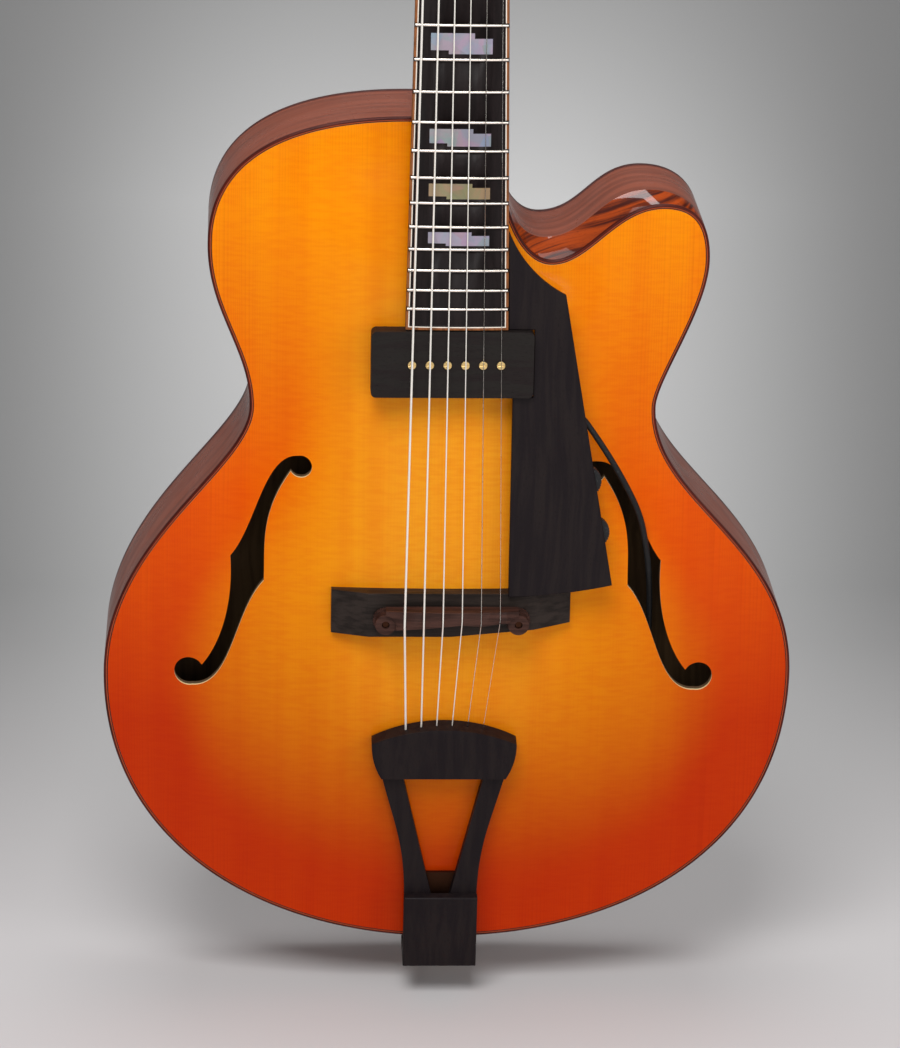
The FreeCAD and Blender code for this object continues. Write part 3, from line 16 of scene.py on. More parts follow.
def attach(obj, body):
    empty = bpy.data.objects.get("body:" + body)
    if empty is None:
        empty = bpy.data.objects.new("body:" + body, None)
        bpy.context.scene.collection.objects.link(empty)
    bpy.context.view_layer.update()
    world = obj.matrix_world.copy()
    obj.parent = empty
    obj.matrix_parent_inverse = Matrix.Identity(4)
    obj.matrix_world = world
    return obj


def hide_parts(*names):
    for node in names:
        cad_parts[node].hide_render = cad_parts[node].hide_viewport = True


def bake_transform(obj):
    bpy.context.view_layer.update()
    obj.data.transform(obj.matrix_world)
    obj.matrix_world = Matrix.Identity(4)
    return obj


bl_info = {
    "name": "Archtop guitar",
    "version": (1, 0, 0),
    "blender": (4, 5, 0),
    "location": "3D View > Sidebar > Archtop",
    "description": "Builds the visible surfaces and finishes of an archtop guitar round its solid parts",
    "category": "Add Mesh",
}

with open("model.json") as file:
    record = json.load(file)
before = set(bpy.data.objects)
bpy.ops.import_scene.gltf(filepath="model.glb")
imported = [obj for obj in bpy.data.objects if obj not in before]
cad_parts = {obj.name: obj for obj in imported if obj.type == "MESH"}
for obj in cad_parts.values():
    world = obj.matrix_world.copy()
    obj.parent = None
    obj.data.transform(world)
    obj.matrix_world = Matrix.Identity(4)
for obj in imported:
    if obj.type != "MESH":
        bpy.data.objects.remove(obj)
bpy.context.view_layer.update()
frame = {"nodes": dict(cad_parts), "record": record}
MM = 0.001
SHARP_ANGLE = math.radians(35)
UPRIGHT = (0, math.radians(90), 0)
SIDEWAYS = (0, 0, 0)


# Sizes and colours that a user would change

def length(name, description, millimetres):
    return bpy.props.FloatProperty(name=name, description=description, default=millimetres * MM,
                                   unit="LENGTH", precision=5)


def angle(name, description, degrees):
    return bpy.props.FloatProperty(name=name, description=description, default=math.radians(degrees),
                                   unit="ROTATION", subtype="ANGLE")


def count(name, description, number):
    return bpy.props.IntProperty(name=name, description=description, default=number, subtype="UNSIGNED")


def colour(name, description, rgb):
    return bpy.props.FloatVectorProperty(name=name, description=description, default=rgb, size=3,
                                         min=0, max=1, subtype="COLOR")


def share(name, description, value):
    return bpy.props.FloatProperty(name=name, description=description, default=value, min=0, max=1,
                                   subtype="FACTOR")


class ArchtopBody(bpy.types.PropertyGroup):
    body_length: length("Body length", "From the tail to the neck joint", 503.5)
    lower_bout_half: length("Lower bout half", "Half width of the lower bout", 201.5)
    lower_bout_height: length("Lower bout height", "Height of the widest place above the tail", 168)
    waist_half: length("Waist half", "Half width of the waist", 116.8)
    waist_height: length("Waist height", "Height of the waist above the tail", 333)
    upper_bout_half: length("Upper bout half", "Half width of the bass upper bout", 141)
    upper_bout_drop: length("Upper bout drop", "Below the neck joint", 75)
    horn_half: length("Horn half", "Reach of the horn", 144.8)
    horn_drop: length("Horn drop", "Below the neck joint", 82.5)
    crest_half: length("Crest half", "Place of the horn's crest", 118)
    crest_drop: length("Crest drop", "Below the neck joint", 49.8)
    cutaway_half: length("Cutaway half", "Place of the cutaway's floor", 54.5)
    cutaway_drop: length("Cutaway drop", "Below the neck joint", 83)
    joint_half: length("Joint half", "Half width of the flat neck joint", 27)
    heel_drop: length("Heel side drop", "Length of the straight side beside the heel", 38.5)
    rear_crest_half: length("Rear crest half", "Horn's crest behind the bevel", 109.4)
    rear_crest_drop: length("Rear crest drop", "Below the neck joint", 43.2)
    rear_floor_half: length("Rear floor half", "Cutaway's floor behind the bevel", 50.4)
    rear_floor_drop: length("Rear floor drop", "Below the neck joint", 71.4)
    bevel_depth: length("Bevel depth", "Reach of the cutaway's bevel below the top", 8.5)
    block_depth: length("Block depth", "Reach of the wood behind the bevel", 17)
    rim_depth: length("Rim depth", "Depth of the sides with the bindings", 69)
    plate_thickness: length("Plate thickness", "Thickness of the carved plates", 5.5)
    top_rise: length("Top rise", "Height of the arch of the top", 17)
    back_rise: length("Back rise", "Height of the arch of the back", 16)
    arch_spread: length("Arch spread", "How far the soft edge of the arch reaches in", 50)
    side_thickness: length("Side thickness", "Thickness of the bent sides", 2.3)
    binding_width: length("Binding width", "Width of the binding on the plates", 2.4)
    top_binding_height: length("Top binding height", "Height of the front binding on the sides", 2.6)
    back_binding_height: length("Back binding height", "Height of the rear binding on the sides", 6.5)
    glue_gap: length("Glue gap", "Air between glued pieces", 0.1)
    hole_drop: length("Hole drop", "Bass f-hole below its drawn place", 2)
    treble_hole_drop: length("Treble hole drop", "Treble f-hole below its drawn place", 4.5)
    treble_hole_shift: length("Treble hole shift", "Treble f-hole towards the centre line", 5.2)
    mesh_spacing: length("Mesh spacing", "Spacing of the points on the plates", 3)


class ArchtopNeck(bpy.types.PropertyGroup):
    scale_length: length("Scale length", "Nut to bridge line", 647.7)
    joint_fret: count("Joint fret", "Fret over the neck joint", 14)
    joint_lead: length("Joint lead", "Joint fret above the body's edge", 2)
    fret_count: count("Frets", "Number of frets", 22)
    neck_angle: angle("Neck angle", "Tilt of the neck", 3.5)
    board_lift: length("Board lift", "Board above the rim at the joint fret", 19)
    board_radius: length("Board radius", "Camber of the fingerboard", 305)
    width_nut: length("Width at the nut", "Fingerboard width at the nut", 43)
    width_end: length("Width at the end", "Fingerboard width at its end", 58.4)
    past_last_fret: length("Past the last fret", "Board past the last fret", 12.4)
    fret_width: length("Fret width", "Width of the fret crowns", 2.3)
    fret_height: length("Fret height", "Height of the fret crowns", 1.1)
    nut_thickness: length("Nut thickness", "Along the neck", 5)
    nut_rise: length("Nut rise", "Nut above the board", 1.4)
    head_angle: angle("Head angle", "Tilt of the head against the neck", 14)
    head_step: length("Head step", "Drop of the head's wood behind the nut", 5.5)
    head_face: length("Head face", "Thickness of the head's veneer", 2)
    post_radius: length("Post radius", "Tuning post", 3)
    post_half: length("Post half", "Half spread of the posts", 20)
    post_first: length("First post", "First post above the nut", 45)
    post_step: length("Post step", "Between posts", 43)


class ArchtopStrings(bpy.types.PropertyGroup):
    diameters: bpy.props.FloatVectorProperty(
        name="Diameters", description="String diameters from bass to treble", size=6, unit="LENGTH",
        default=(0.00132, 0.00107, 0.00081, 0.00061, 0.00041, 0.0003))
    setback: bpy.props.FloatVectorProperty(
        name="Setback", description="Saddle setback from bass to treble", size=6, unit="LENGTH",
        default=(0.0046, 0.0037, 0.0026, 0.0014, 0.0024, 0.0008))
    wound: count("Wound strings", "Strings with a winding", 4)
    nut_spread: length("Nut spread", "Outer strings at the nut", 36)
    saddle_spread: length("Saddle spread", "Outer strings at the saddle", 55)
    tail_spread: length("Tail spread", "Outer strings at the tailpiece", 45)
    saddle_rise: length("Saddle rise", "Saddle above the board's line", 5.2)
    touch: length("Touch", "Air under a string where it rests", 0.05)
    anchor: length("Anchor", "Length of string inside the tailpiece", 9)
    wrap_turns: bpy.props.FloatProperty(name="Turns", description="Turns on each post", default=2.5,
                                        subtype="UNSIGNED")
    wrap_gap: length("Wrap gap", "Air between turns", 0.45)
    wrap_clearance: length("Wrap clearance", "Air between the turns and the post", 0.5)
    wrap_height: length("Wrap height", "First turn above the head's face", 7.8)
    tail_shift: length("Tail shift", "Tailpiece from the centre line", -2.6)
    tail_angle: angle("Tail angle", "Tilt of the tailpiece", 5.2)
    tail_lift: length("Tail lift", "Underside of the tailpiece above the rim", 5)
    tail_thickness: length("Tail thickness", "Thickness of the tailpiece's head", 10)
    tail_half: length("Tail half", "Half width of the tailpiece's head", 42.3)
    tail_shoulder: length("Tail shoulder", "Height of the head's corners", 137)
    tail_crown: length("Tail crown", "Height of the head's middle", 147.5)


class ArchtopFinish(bpy.types.PropertyGroup):
    tail_rim: colour("Tail rim", "Rim of the top at the tail", (0.49, 0.031, 0.0002))
    waist_rim: colour("Waist rim", "Rim of the top at the waist", (0.73, 0.095, 0.0004))
    neck_rim: colour("Neck rim", "Rim of the top at the neck", (0.90, 0.275, 0.0004))
    tail_middle: colour("Tail middle", "Middle of the top at the tail", (0.49, 0.070, 0.0004))
    waist_middle: colour("Waist middle", "Middle of the top at the waist", (0.82, 0.285, 0.001))
    neck_middle: colour("Neck middle", "Middle of the top at the neck", (0.92, 0.315, 0.0005))
    # Partly painted light: besides the amber of the top under the strings, the strip reaches down under the
    # bridge to lighten the bridge's shadow
    amber: colour("Amber", "Strip under the strings", (0.86, 0.330, 0.012))
    raw_edge: colour("Raw edge", "Bare wood inside the f-holes", (0.95, 0.70, 0.36))
    side_light: colour("Side light", "Light streaks of the sides", (0.28, 0.068, 0.033))
    side_dark: colour("Side dark", "Dark streaks of the sides", (0.19, 0.044, 0.020))
    bevel_light: colour("Bevel light", "Light wood of the cutaway's bevel", (0.36, 0.050, 0.004))
    bevel_dark: colour("Bevel dark", "Dark streaks of the cutaway's bevel", (0.055, 0.007, 0.003))
    binding: colour("Binding", "Red-brown binding wood", (0.085, 0.010, 0.005))
    line_pale: colour("Pale line", "Pale line inside the binding", (0.36, 0.060, 0.015))
    line_dark: colour("Dark line", "Dark line inside the binding", (0.050, 0.008, 0.004))
    board: colour("Board", "Dark wood of the fingerboard", (0.013, 0.0085, 0.0085))
    board_binding: colour("Board binding", "Wood along the fingerboard", (0.30, 0.105, 0.035))
    board_line: colour("Board line", "Pale line along the fingerboard", (0.82, 0.74, 0.64))
    ebony: colour("Ebony", "Ebony fittings", (0.0090, 0.0058, 0.0070))
    ebony_streak: colour("Ebony streak", "Brown streaks of the ebony", (0.014, 0.0095, 0.0095))
    cover: colour("Pickup cover", "Charcoal wood of the pickup", (0.016, 0.0135, 0.0120))
    bridge: colour("Bridge", "Rosewood of the saddle", (0.062, 0.027, 0.020))
    bridge_base: colour("Bridge base", "Dark wood of the bridge's base", (0.030, 0.0215, 0.0180))
    # The inner wood colours are dark as painted shade for the inside of the body
    inner_light: colour("Inner light", "Wood inside the body", (0.13, 0.075, 0.035))
    inner_dark: colour("Inner dark", "Streaks of the wood inside", (0.08, 0.045, 0.020))
    neck: colour("Neck", "Mahogany of the neck", (0.115, 0.036, 0.015))
    pearl: colour("Pearl", "Lilac grey shell", (0.29, 0.27, 0.32))
    pearl_green: colour("Green pearl", "Shell of the odd marker", (0.25, 0.215, 0.11))
    gold: colour("Gold", "Plated metal", (0.83, 0.60, 0.26))
    nickel: colour("Nickel", "Frets", (0.85, 0.76, 0.68))
    string: colour("String", "Wound strings", (1.0, 0.95, 0.87))
    gloss: share("Gloss", "Strength of the lacquer on the sides, back and neck", 0.5)
    top_gloss: share("Top gloss", "Strength of the lacquer on the top", 0.12)


class ArchtopStage(bpy.types.PropertyGroup):
    floor_level: length("Floor level", "Height of the floor", -32)
    # The stage's colours paint light: glow is a painted pool of light, dim and wall are painted shade on the
    # backdrop
    floor: colour("Floor", "Floor in front", (0.60, 0.575, 0.58))
    glow: colour("Glow", "Floor and backdrop behind the middle", (0.60, 0.60, 0.60))
    dim: colour("Dim", "Edges of the backdrop", (0.21, 0.21, 0.21))
    wall: colour("Wall", "Upper backdrop", (0.265, 0.265, 0.265))
    camera_place: bpy.props.FloatVectorProperty(name="Camera", description="Place of the camera", size=3,
                                                default=(-0.1255, -2.4515, 1.1041), subtype="XYZ")
    camera_pitch: angle("Camera pitch", "Look down", 19.19)
    camera_yaw: angle("Camera yaw", "Look to the treble side", 2.961)
    camera_roll: angle("Camera roll", "Turn of the frame", 1.14)
    camera_lens: bpy.props.FloatProperty(name="Lens", description="Focal length in millimetres",
                                         default=151.8, unit="CAMERA")


# Arrays

def bezier(start, leave, end, arrive, reach_out, reach_in, steps):
    """Cubic curve: its inner points lie along the two directions, at shares of the chord. No end point."""
    start, end = np.array(start, float), np.array(end, float)
    leave, arrive = np.array(leave, float), np.array(arrive, float)
    chord = np.linalg.norm(end - start)
    first = start + leave / np.linalg.norm(leave) * chord * reach_out
    second = end - arrive / np.linalg.norm(arrive) * chord * reach_in
    t = (np.arange(steps) / steps)[:, None]
    s = 1 - t
    return s ** 3 * start + 3 * s * s * t * first + 3 * s * t * t * second + t ** 3 * end


def three_point_arc(start, middle, end, steps):
    """Points on the circle through three points, from start up to end. No end point."""
    a, b, c = (np.array(p, float) for p in (start, middle, end))
    rows = np.array([b - a, c - a]) * 2
    centre = np.linalg.solve(rows, np.array([b @ b - a @ a, c @ c - a @ a]))
    angles = [math.atan2(*(p - centre)[::-1]) for p in (a, b, c)]
    sweep = (angles[2] - angles[0]) % (2 * math.pi)
    if (angles[1] - angles[0]) % (2 * math.pi) > sweep:
        sweep -= 2 * math.pi
    turn = angles[0] + sweep * np.arange(steps) / steps
    return centre + np.linalg.norm(a - centre) * np.stack([np.cos(turn), np.sin(turn)], 1)


def outline_loop(body, rear=False):
    """Closed rim as (x, z) points with inward directions; a corner's direction is long enough for a mitre.

    The rear rim stands out past the front one in the cutaway, and the bevel joins them point by point."""
    up, down, right, left = (0, 1), (0, -1), (1, 0), (-1, 0)
    b, joint = body, body.body_length
    shoulder, heel = (-b.joint_half, joint), (b.joint_half, joint - b.heel_drop)
    upper, horn = (-b.upper_bout_half, joint - b.upper_bout_drop), (b.horn_half, joint - b.horn_drop)
    if rear:
        crest = (b.rear_crest_half, joint - b.rear_crest_drop)
        floor = (b.rear_floor_half, joint - b.rear_floor_drop)
        reaches = ((0.62, 0.28), (0.43, 0.39), (0.41, 0.26))
    else:
        crest = (b.crest_half, joint - b.crest_drop)
        floor = (b.cutaway_half, joint - b.cutaway_drop)
        reaches = ((0.53, 0.42), (0.40, 0.29), (0.32, 0.26))
    waist_l, waist_r = (-b.waist_half, b.waist_height), (b.waist_half, b.waist_height)
    low_l, low_r = (-b.lower_bout_half, b.lower_bout_height), (b.lower_bout_half, b.lower_bout_height)
    parts = [bezier(shoulder, left, upper, down, 0.40, 0.44, 80),
             bezier(upper, down, waist_l, down, 0.40, 0.34, 50),
             bezier(waist_l, down, low_l, down, 0.20, 0.45, 90),
             bezier(low_l, down, (0, 0), right, 0.41, 0.41, 140),
             bezier((0, 0), right, low_r, up, 0.41, 0.43, 140),
             bezier(low_r, up, waist_r, up, 0.45, 0.31, 90),
             bezier(waist_r, up, horn, up, 0.18, 0.32, 50),
             bezier(horn, up, crest, left, *reaches[0], 40),
             bezier(crest, left, floor, left, *reaches[1], 50),
             bezier(floor, left, heel, up, *reaches[2], 40)]
    points = np.concatenate(parts)
    ahead = np.roll(points, -1, 0) - np.roll(points, 1, 0)
    ahead[0], ahead[-1] = (-1, 0), points[-1] - points[-2]
    inward = np.stack([-ahead[:, 1], ahead[:, 0]], 1) / np.linalg.norm(ahead, axis=1)[:, None]
    side = np.array([[b.joint_half, joint - b.heel_drop * k / 6] for k in range(6, 0, -1)])
    corner = np.array([[b.joint_half, joint]])
    across = np.array([[b.joint_half * (1 - 2 * k / 10), joint] for k in range(1, 10)])
    turns = np.concatenate([np.tile((-1.0, 0.0), (6, 1)), [(-1.0, -1.0)], np.tile((0.0, -1.0), (9, 1))])
    return np.concatenate([points, side, corner, across]), np.concatenate([inward, turns])


def lengths_along(path):
    """Length of a path from its start to each of its points."""
    return np.concatenate([[0], np.cumsum(np.linalg.norm(np.diff(path, axis=0), axis=1))])


def inside(points, loop):
    """Which (x, z) points lie inside a closed loop: an odd number of edges lies to their right."""
    x0, z0 = loop.T
    x1, z1 = np.roll(loop, -1, 0).T
    slope = (x1 - x0) / np.where(z1 == z0, 1, z1 - z0)
    found = []
    for block in np.array_split(points, max(1, len(points) // 4000)):
        x, z = block[:, :1], block[:, 1:]
        crossing = ((z0 > z) != (z1 > z)) & (x < x0 + (z - z0) * slope)
        found.append(crossing.sum(1) % 2 == 1)
    return np.concatenate(found)


class Arch:
    """Height of the carved plates: a skin stretched over the rim with a soft edge, as a smooth spline."""

    # Grid spacing, rounds of relaxation, and how far each round pushes the skin towards its goal
    step = 9 * MM
    rounds = 400
    push = 1.6

    def __init__(self, body):
        loop, _ = outline_loop(body)
        reach = max(body.lower_bout_half, body.upper_bout_half, body.horn_half) + 2 * self.step
        columns = int(2 * reach / self.step) + 2
        rows = int((body.body_length + 4 * self.step) / self.step) + 2
        self.start = np.array([-reach, -2 * self.step])
        i, k = np.meshgrid(np.arange(columns), np.arange(rows), indexing="ij")
        places = np.stack([i, k], -1) * self.step + self.start
        held = inside(places.reshape(-1, 2), loop).reshape(columns, rows)
        pull = (self.step / body.arch_spread) ** 2
        skin = np.zeros((columns, rows))
        for turn in range(self.rounds):
            around = sum(np.roll(skin, shift, axis) for shift in (-1, 1) for axis in (0, 1))
            goal = np.where(held & ((i + k + turn) % 2 == 0), (around + pull) / (4 + pull), skin)
            skin += self.push * (goal - skin)
        skin /= skin.max()
        rounded = 0.5 + 0.5 * np.cos(np.pi * np.sqrt(np.clip(1 - skin, 0, 1)))
        self.poles = [self.spline_poles(values) for values in (rounded, skin)]

    @staticmethod
    def spline_poles(values):
        """Control values of a cubic B-spline that passes through a grid of values."""
        for axis in (0, 1):
            size = values.shape[axis]
            matrix = np.eye(size) * 4 / 6 + np.eye(size, k=1) / 6 + np.eye(size, k=-1) / 6
            values = np.moveaxis(np.linalg.solve(matrix, np.moveaxis(values, axis, 0)), 0, axis)
        return values

    def at(self, places, which=0):
        """Spline value at (x, z) places: a weighted sum of sixteen neighbours."""
        where = (places - self.start) / self.step
        cell = np.floor(where).astype(int)
        t = where - cell
        weights = np.stack([(1 - t) ** 3, 3 * t ** 3 - 6 * t ** 2 + 4, -3 * t ** 3 + 3 * t ** 2 + 3 * t + 1,
                            t ** 3]) / 6
        poles = self.poles[which]
        total = np.zeros(len(places))
        for a in range(4):
            for b in range(4):
                i = np.clip(cell[:, 0] + a - 1, 0, poles.shape[0] - 1)
                k = np.clip(cell[:, 1] + b - 1, 0, poles.shape[1] - 1)
                total += weights[a, :, 0] * weights[b, :, 1] * poles[i, k]
        return np.clip(total, 0, 1)


def f_hole_loop(side, shift, base):
    """One f-hole as a closed loop: two round eyes, a flowing stem and a nick on each edge."""
    def at(x, rise):
        return (side * x * MM - shift, base + rise * MM)

    def way(x, z):
        return (side * x, z)

    top, corner = at(89.0, 89.5), at(93.1, 80.0)
    low_corner, foot = at(144.2, -38.8), at(149.7, -51.6)
    outer, inner = at(127.7, 28.4), at(108.3, 14.3)
    return np.concatenate([
        bezier(top, way(1, 0), outer, way(0.64, -0.77), 0.27, 0.32, 40),
        bezier(outer, way(-0.07, -1), low_corner, way(0.63, -0.78), 0.42, 0.25, 36),
        three_point_arc(low_corner, at(160.2, -43.5), foot, 30),
        bezier(foot, way(-1, 0), inner, way(-0.67, 0.74), 0.30, 0.34, 40),
        bezier(inner, way(-0.04, 1), corner, way(-0.56, 0.83), 0.31, 0.48, 36),
        three_point_arc(corner, at(81.0, 82.0), top, 26)])


# Meshes

def grid_faces(rows, columns, close_rows, close_columns):
    """Quads of a grid of points, and their grid places before any wrap."""
    r = np.arange(rows if close_rows else rows - 1)
    c = np.arange(columns if close_columns else columns - 1)
    r, c = (part.ravel() for part in np.meshgrid(r, c, indexing="ij"))
    corner_r = np.stack([r, r + 1, r + 1, r], 1)
    corner_c = np.stack([c, c, c + 1, c + 1], 1)
    return (corner_r % rows) * columns + corner_c % columns, corner_r, corner_c


def placed(name, data):
    """A new object in the scene."""
    obj = bpy.data.objects.new(name, data)
    bpy.context.scene.collection.objects.link(obj)
    return obj


def make_object(name, points, faces, uv=None, slots=None):
    """Mesh object from arrays; uv holds one pair for each corner and slots one number for each face."""
    mesh = bpy.data.meshes.new(name)
    mesh.from_pydata(np.asarray(points).reshape(-1, 3), [], faces)
    if uv is not None:
        mesh.uv_layers.new(name="UVMap").data.foreach_set("uv", np.asarray(uv, float).ravel())
    if slots is not None:
        mesh.polygons.foreach_set("material_index", np.asarray(slots, np.int32))
    mesh.update()
    mesh.shade_smooth()
    mesh.set_sharp_from_angle(angle=SHARP_ANGLE)
    return placed(name, mesh)


def outward(obj):
    """Turn every face of a closed mesh outwards."""
    work = bmesh.new()
    work.from_mesh(obj.data)
    bmesh.ops.recalc_face_normals(work, faces=work.faces)
    work.to_mesh(obj.data)
    work.free()
    obj.data.set_sharp_from_angle(angle=SHARP_ANGLE)


def mark_points(obj, name, values):
    """Give each point of a mesh a named value for the shaders."""
    obj.data.attributes.new(name, "FLOAT", "POINT").data.foreach_set("value", values)


def tube(name, path, side, radius, around):
    """Round tube: at each point of a path, a circle that starts square to the path and to a side vector."""
    ahead = np.gradient(path, axis=0)
    ahead /= np.linalg.norm(ahead, axis=1)[:, None]
    across = np.cross(ahead, side)
    across /= np.linalg.norm(across, axis=1)[:, None]
    over = np.cross(across, ahead)
    turn = 2 * np.pi * np.arange(around) / around
    ring = across[:, None] * np.cos(turn)[:, None] + over[:, None] * np.sin(turn)[:, None]
    points = path[:, None] + radius * ring
    faces, r, c = grid_faces(len(path), around, False, True)
    uv = np.stack([c / around, lengths_along(path)[r]], -1)
    ends = [list(range(around))[::-1], list(range(len(path) * around - around, len(path) * around))]
    caps = np.zeros((2 * around, 2))
    obj = make_object(name, points, faces.tolist() + ends, np.concatenate([uv.reshape(-1, 2), caps]))
    outward(obj)
    return obj


node_body = {node: body for body, nodes in frame["record"]["behaviour"]["bodies"].items() for node in nodes}


def stand_for(obj, *nodes):
    """Let a piece ride on its nodes' body and stand for them."""
    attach(obj, node_body[nodes[0]])
    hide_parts(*nodes)
    return obj


def dressed(node, material, edge, smooth_angle=SHARP_ANGLE):
    """A copy of a solid with merged corners, smooth curves and softly rounded edges, standing for it."""
    merge_distance, flat_angle, rounded_angle = 0.002 * MM, math.radians(0.6), math.radians(40)
    mesh = bpy.data.meshes.new(node + "_dressed")
    work = bmesh.new()
    work.from_mesh(frame["nodes"][node].data)
    bmesh.ops.remove_doubles(work, verts=work.verts, dist=merge_distance)
    bmesh.ops.dissolve_limit(work, angle_limit=flat_angle, verts=work.verts, edges=work.edges)
    work.to_mesh(mesh)
    work.free()
    mesh.shade_smooth()
    mesh.set_sharp_from_angle(angle=smooth_angle)
    mesh.materials.clear()
    mesh.materials.append(material)
    obj = placed(node + "_dressed", mesh)
    if edge:
        bevel = obj.modifiers.new("Soft edges", "BEVEL")
        bevel.width = edge * MM
        bevel.segments = 2
        bevel.limit_method = "ANGLE"
        bevel.angle_limit = rounded_angle
    return stand_for(obj, node)


# Shader groups

def new_group(name, inputs, outputs):
    """Empty shader group with a vector and named values as inputs, and named values as outputs."""
    group = bpy.data.node_groups.new(name, "ShaderNodeTree")
    group.interface.new_socket("Vector", in_out="INPUT", socket_type="NodeSocketVector")
    for in_out, sockets in (("INPUT", inputs), ("OUTPUT", outputs)):
        for socket in sockets:
            group.interface.new_socket(socket, in_out=in_out, socket_type="NodeSocketFloat")
    return group, group.nodes.new("NodeGroupInput"), group.nodes.new("NodeGroupOutput")


def add(tree, kind, settings=None, **inputs):
    """Node of a kind. Inputs go by name, or by number as i0 and i1: a socket is linked, a value stored."""
    node = tree.nodes.new("ShaderNode" + kind)
    for key, value in (settings or {}).items():
        setattr(node, key, value)
    for key, value in inputs.items():
        socket = node.inputs[int(key[1:])] if key[1:].isdigit() else node.inputs[key.replace("_", " ")]
        if isinstance(value, bpy.types.NodeSocket):
            tree.links.new(value, socket)
        else:
            socket.default_value = value
    return node


def math_node(tree, operation, *values):
    """Result of a sum on values or sockets."""
    node = add(tree, "Math", {"operation": operation},
               **{"i%d" % k: value for k, value in enumerate(values)})
    return node.outputs[0]


def stretched(tree, vector, scale):
    """A place multiplied axis by axis."""
    return add(tree, "VectorMath", {"operation": "MULTIPLY"}, i0=vector, i1=scale).outputs[0]


def between(tree, value, low, high, to_low=0.0, to_high=1.0):
    """Value taken from one range to another, smoothly and clamped."""
    node = add(tree, "MapRange", {"interpolation_type": "SMOOTHSTEP"}, Value=value,
               From_Min=low, From_Max=high, To_Min=to_low, To_Max=to_high)
    return node.outputs[0]


def blend(tree, factor, first, second, mode="MIX"):
    """Mix of two colours; each is a colour or a socket."""
    node = add(tree, "Mix", {"data_type": "RGBA", "blend_type": mode}, i0=factor)
    for index, value in ((6, first), (7, second)):
        if isinstance(value, bpy.types.NodeSocket):
            tree.links.new(value, node.inputs[index])
        else:
            node.inputs[index].default_value = (*value[:3], 1)
    return node.outputs[2]


def noise(tree, vector, scale, detail, **more):
    """Soft noise at a place."""
    return add(tree, "TexNoise", Vector=vector, Scale=scale, Detail=detail, **more).outputs[0]


def mark(tree, name):
    """Value that mark_points gave to a mesh."""
    return add(tree, "Attribute", {"attribute_name": name}).outputs["Fac"]


def darker(tint, part):
    """A part of a colour's strength."""
    return [part * channel for channel in tint]


def ramp(tree, value, stops):
    """Colour that runs through stops of (value, colour)."""
    node = add(tree, "ValToRGB", Fac=value)
    elements = node.color_ramp.elements
    while len(elements) < len(stops):
        elements.new(1.0)
    for element, (position, tint) in zip(elements, stops):
        element.position = position
        element.color = (*tint, 1)
    return node.outputs[0]


def straight_grain_group():
    """Growth lines along the second and third axes, broad bands and cross silk, all from stretched noise."""
    group, given, out = new_group("Straight grain", ("Lines", "Wander"), ("Lines", "Bands", "Silk"))
    place = given.outputs["Vector"]
    wander = noise(group, stretched(group, place, (40, 6, 6)), 1.0, 2.0)
    offset = math_node(group, "MULTIPLY", wander, given.outputs["Wander"])
    across = math_node(group, "ADD", add(group, "SeparateXYZ", Vector=place).outputs[0], offset)
    uneven = add(group, "TexNoise", {"noise_dimensions": "1D"}, W=across, Scale=90.0, Detail=1.0)
    phase = math_node(group, "MULTIPLY", across, given.outputs["Lines"])
    phase = math_node(group, "ADD", phase, math_node(group, "MULTIPLY", uneven.outputs[0], 5.0))
    saw = math_node(group, "FRACT", phase)
    group.links.new(math_node(group, "POWER", saw, 3.0), out.inputs["Lines"])
    bands = noise(group, stretched(group, place, (60, 2, 2)), 1.0, 3.0)
    group.links.new(bands, out.inputs["Bands"])
    silk = noise(group, stretched(group, place, (90, 200, 560)), 1.0, 2.0)
    group.links.new(silk, out.inputs["Silk"])
    return group


def streaked_figure_group():
    """Dark streaks that run along the first axis and fork: stretched noise, warped by wider noise."""
    group, given, out = new_group("Streaked figure", ("Streaks", "Stretch"), ("Dark", "Pores"))
    place = given.outputs["Vector"]
    warp = add(group, "TexNoise", Vector=stretched(group, place, (9, 22, 22)), Scale=1.0, Detail=2.0)
    centred = add(group, "VectorMath", {"operation": "SUBTRACT"}, i0=warp.outputs["Color"],
                  i1=(0.5, 0.5, 0.5))
    moved_place = add(group, "VectorMath", {"operation": "MULTIPLY_ADD"}, i0=centred.outputs[0],
                      i1=(0.012, 0.012, 0.012), i2=place)
    scale = add(group, "CombineXYZ", X=given.outputs["Stretch"], Y=given.outputs["Streaks"],
                Z=given.outputs["Streaks"])
    spread = stretched(group, moved_place.outputs[0], scale.outputs[0])
    streaks = noise(group, spread, 1.0, 5.0, Roughness=0.6)
    group.links.new(between(group, streaks, 0.38, 0.64), out.inputs["Dark"])
    pores = noise(group, stretched(group, place, (350, 3200, 3200)), 1.0, 1.0)
    group.links.new(between(group, pores, 0.60, 0.72), out.inputs["Pores"])
    return group


def handling_group():
    """Soft smears left by hands, and specks of dust: two noises of different size."""
    group, given, out = new_group("Handling", ("Smooth", "Dull"), ("Roughness", "Specks"))
    smears = noise(group, given.outputs["Vector"], 34.0, 4.0, Distortion=0.8)
    worn = between(group, smears, 0.35, 0.7, given.outputs["Smooth"], given.outputs["Dull"])
    group.links.new(worn, out.inputs["Roughness"])
    specks = noise(group, given.outputs["Vector"], 1400.0, 0.0)
    group.links.new(between(group, specks, 0.70, 0.78), out.inputs["Specks"])
    return group


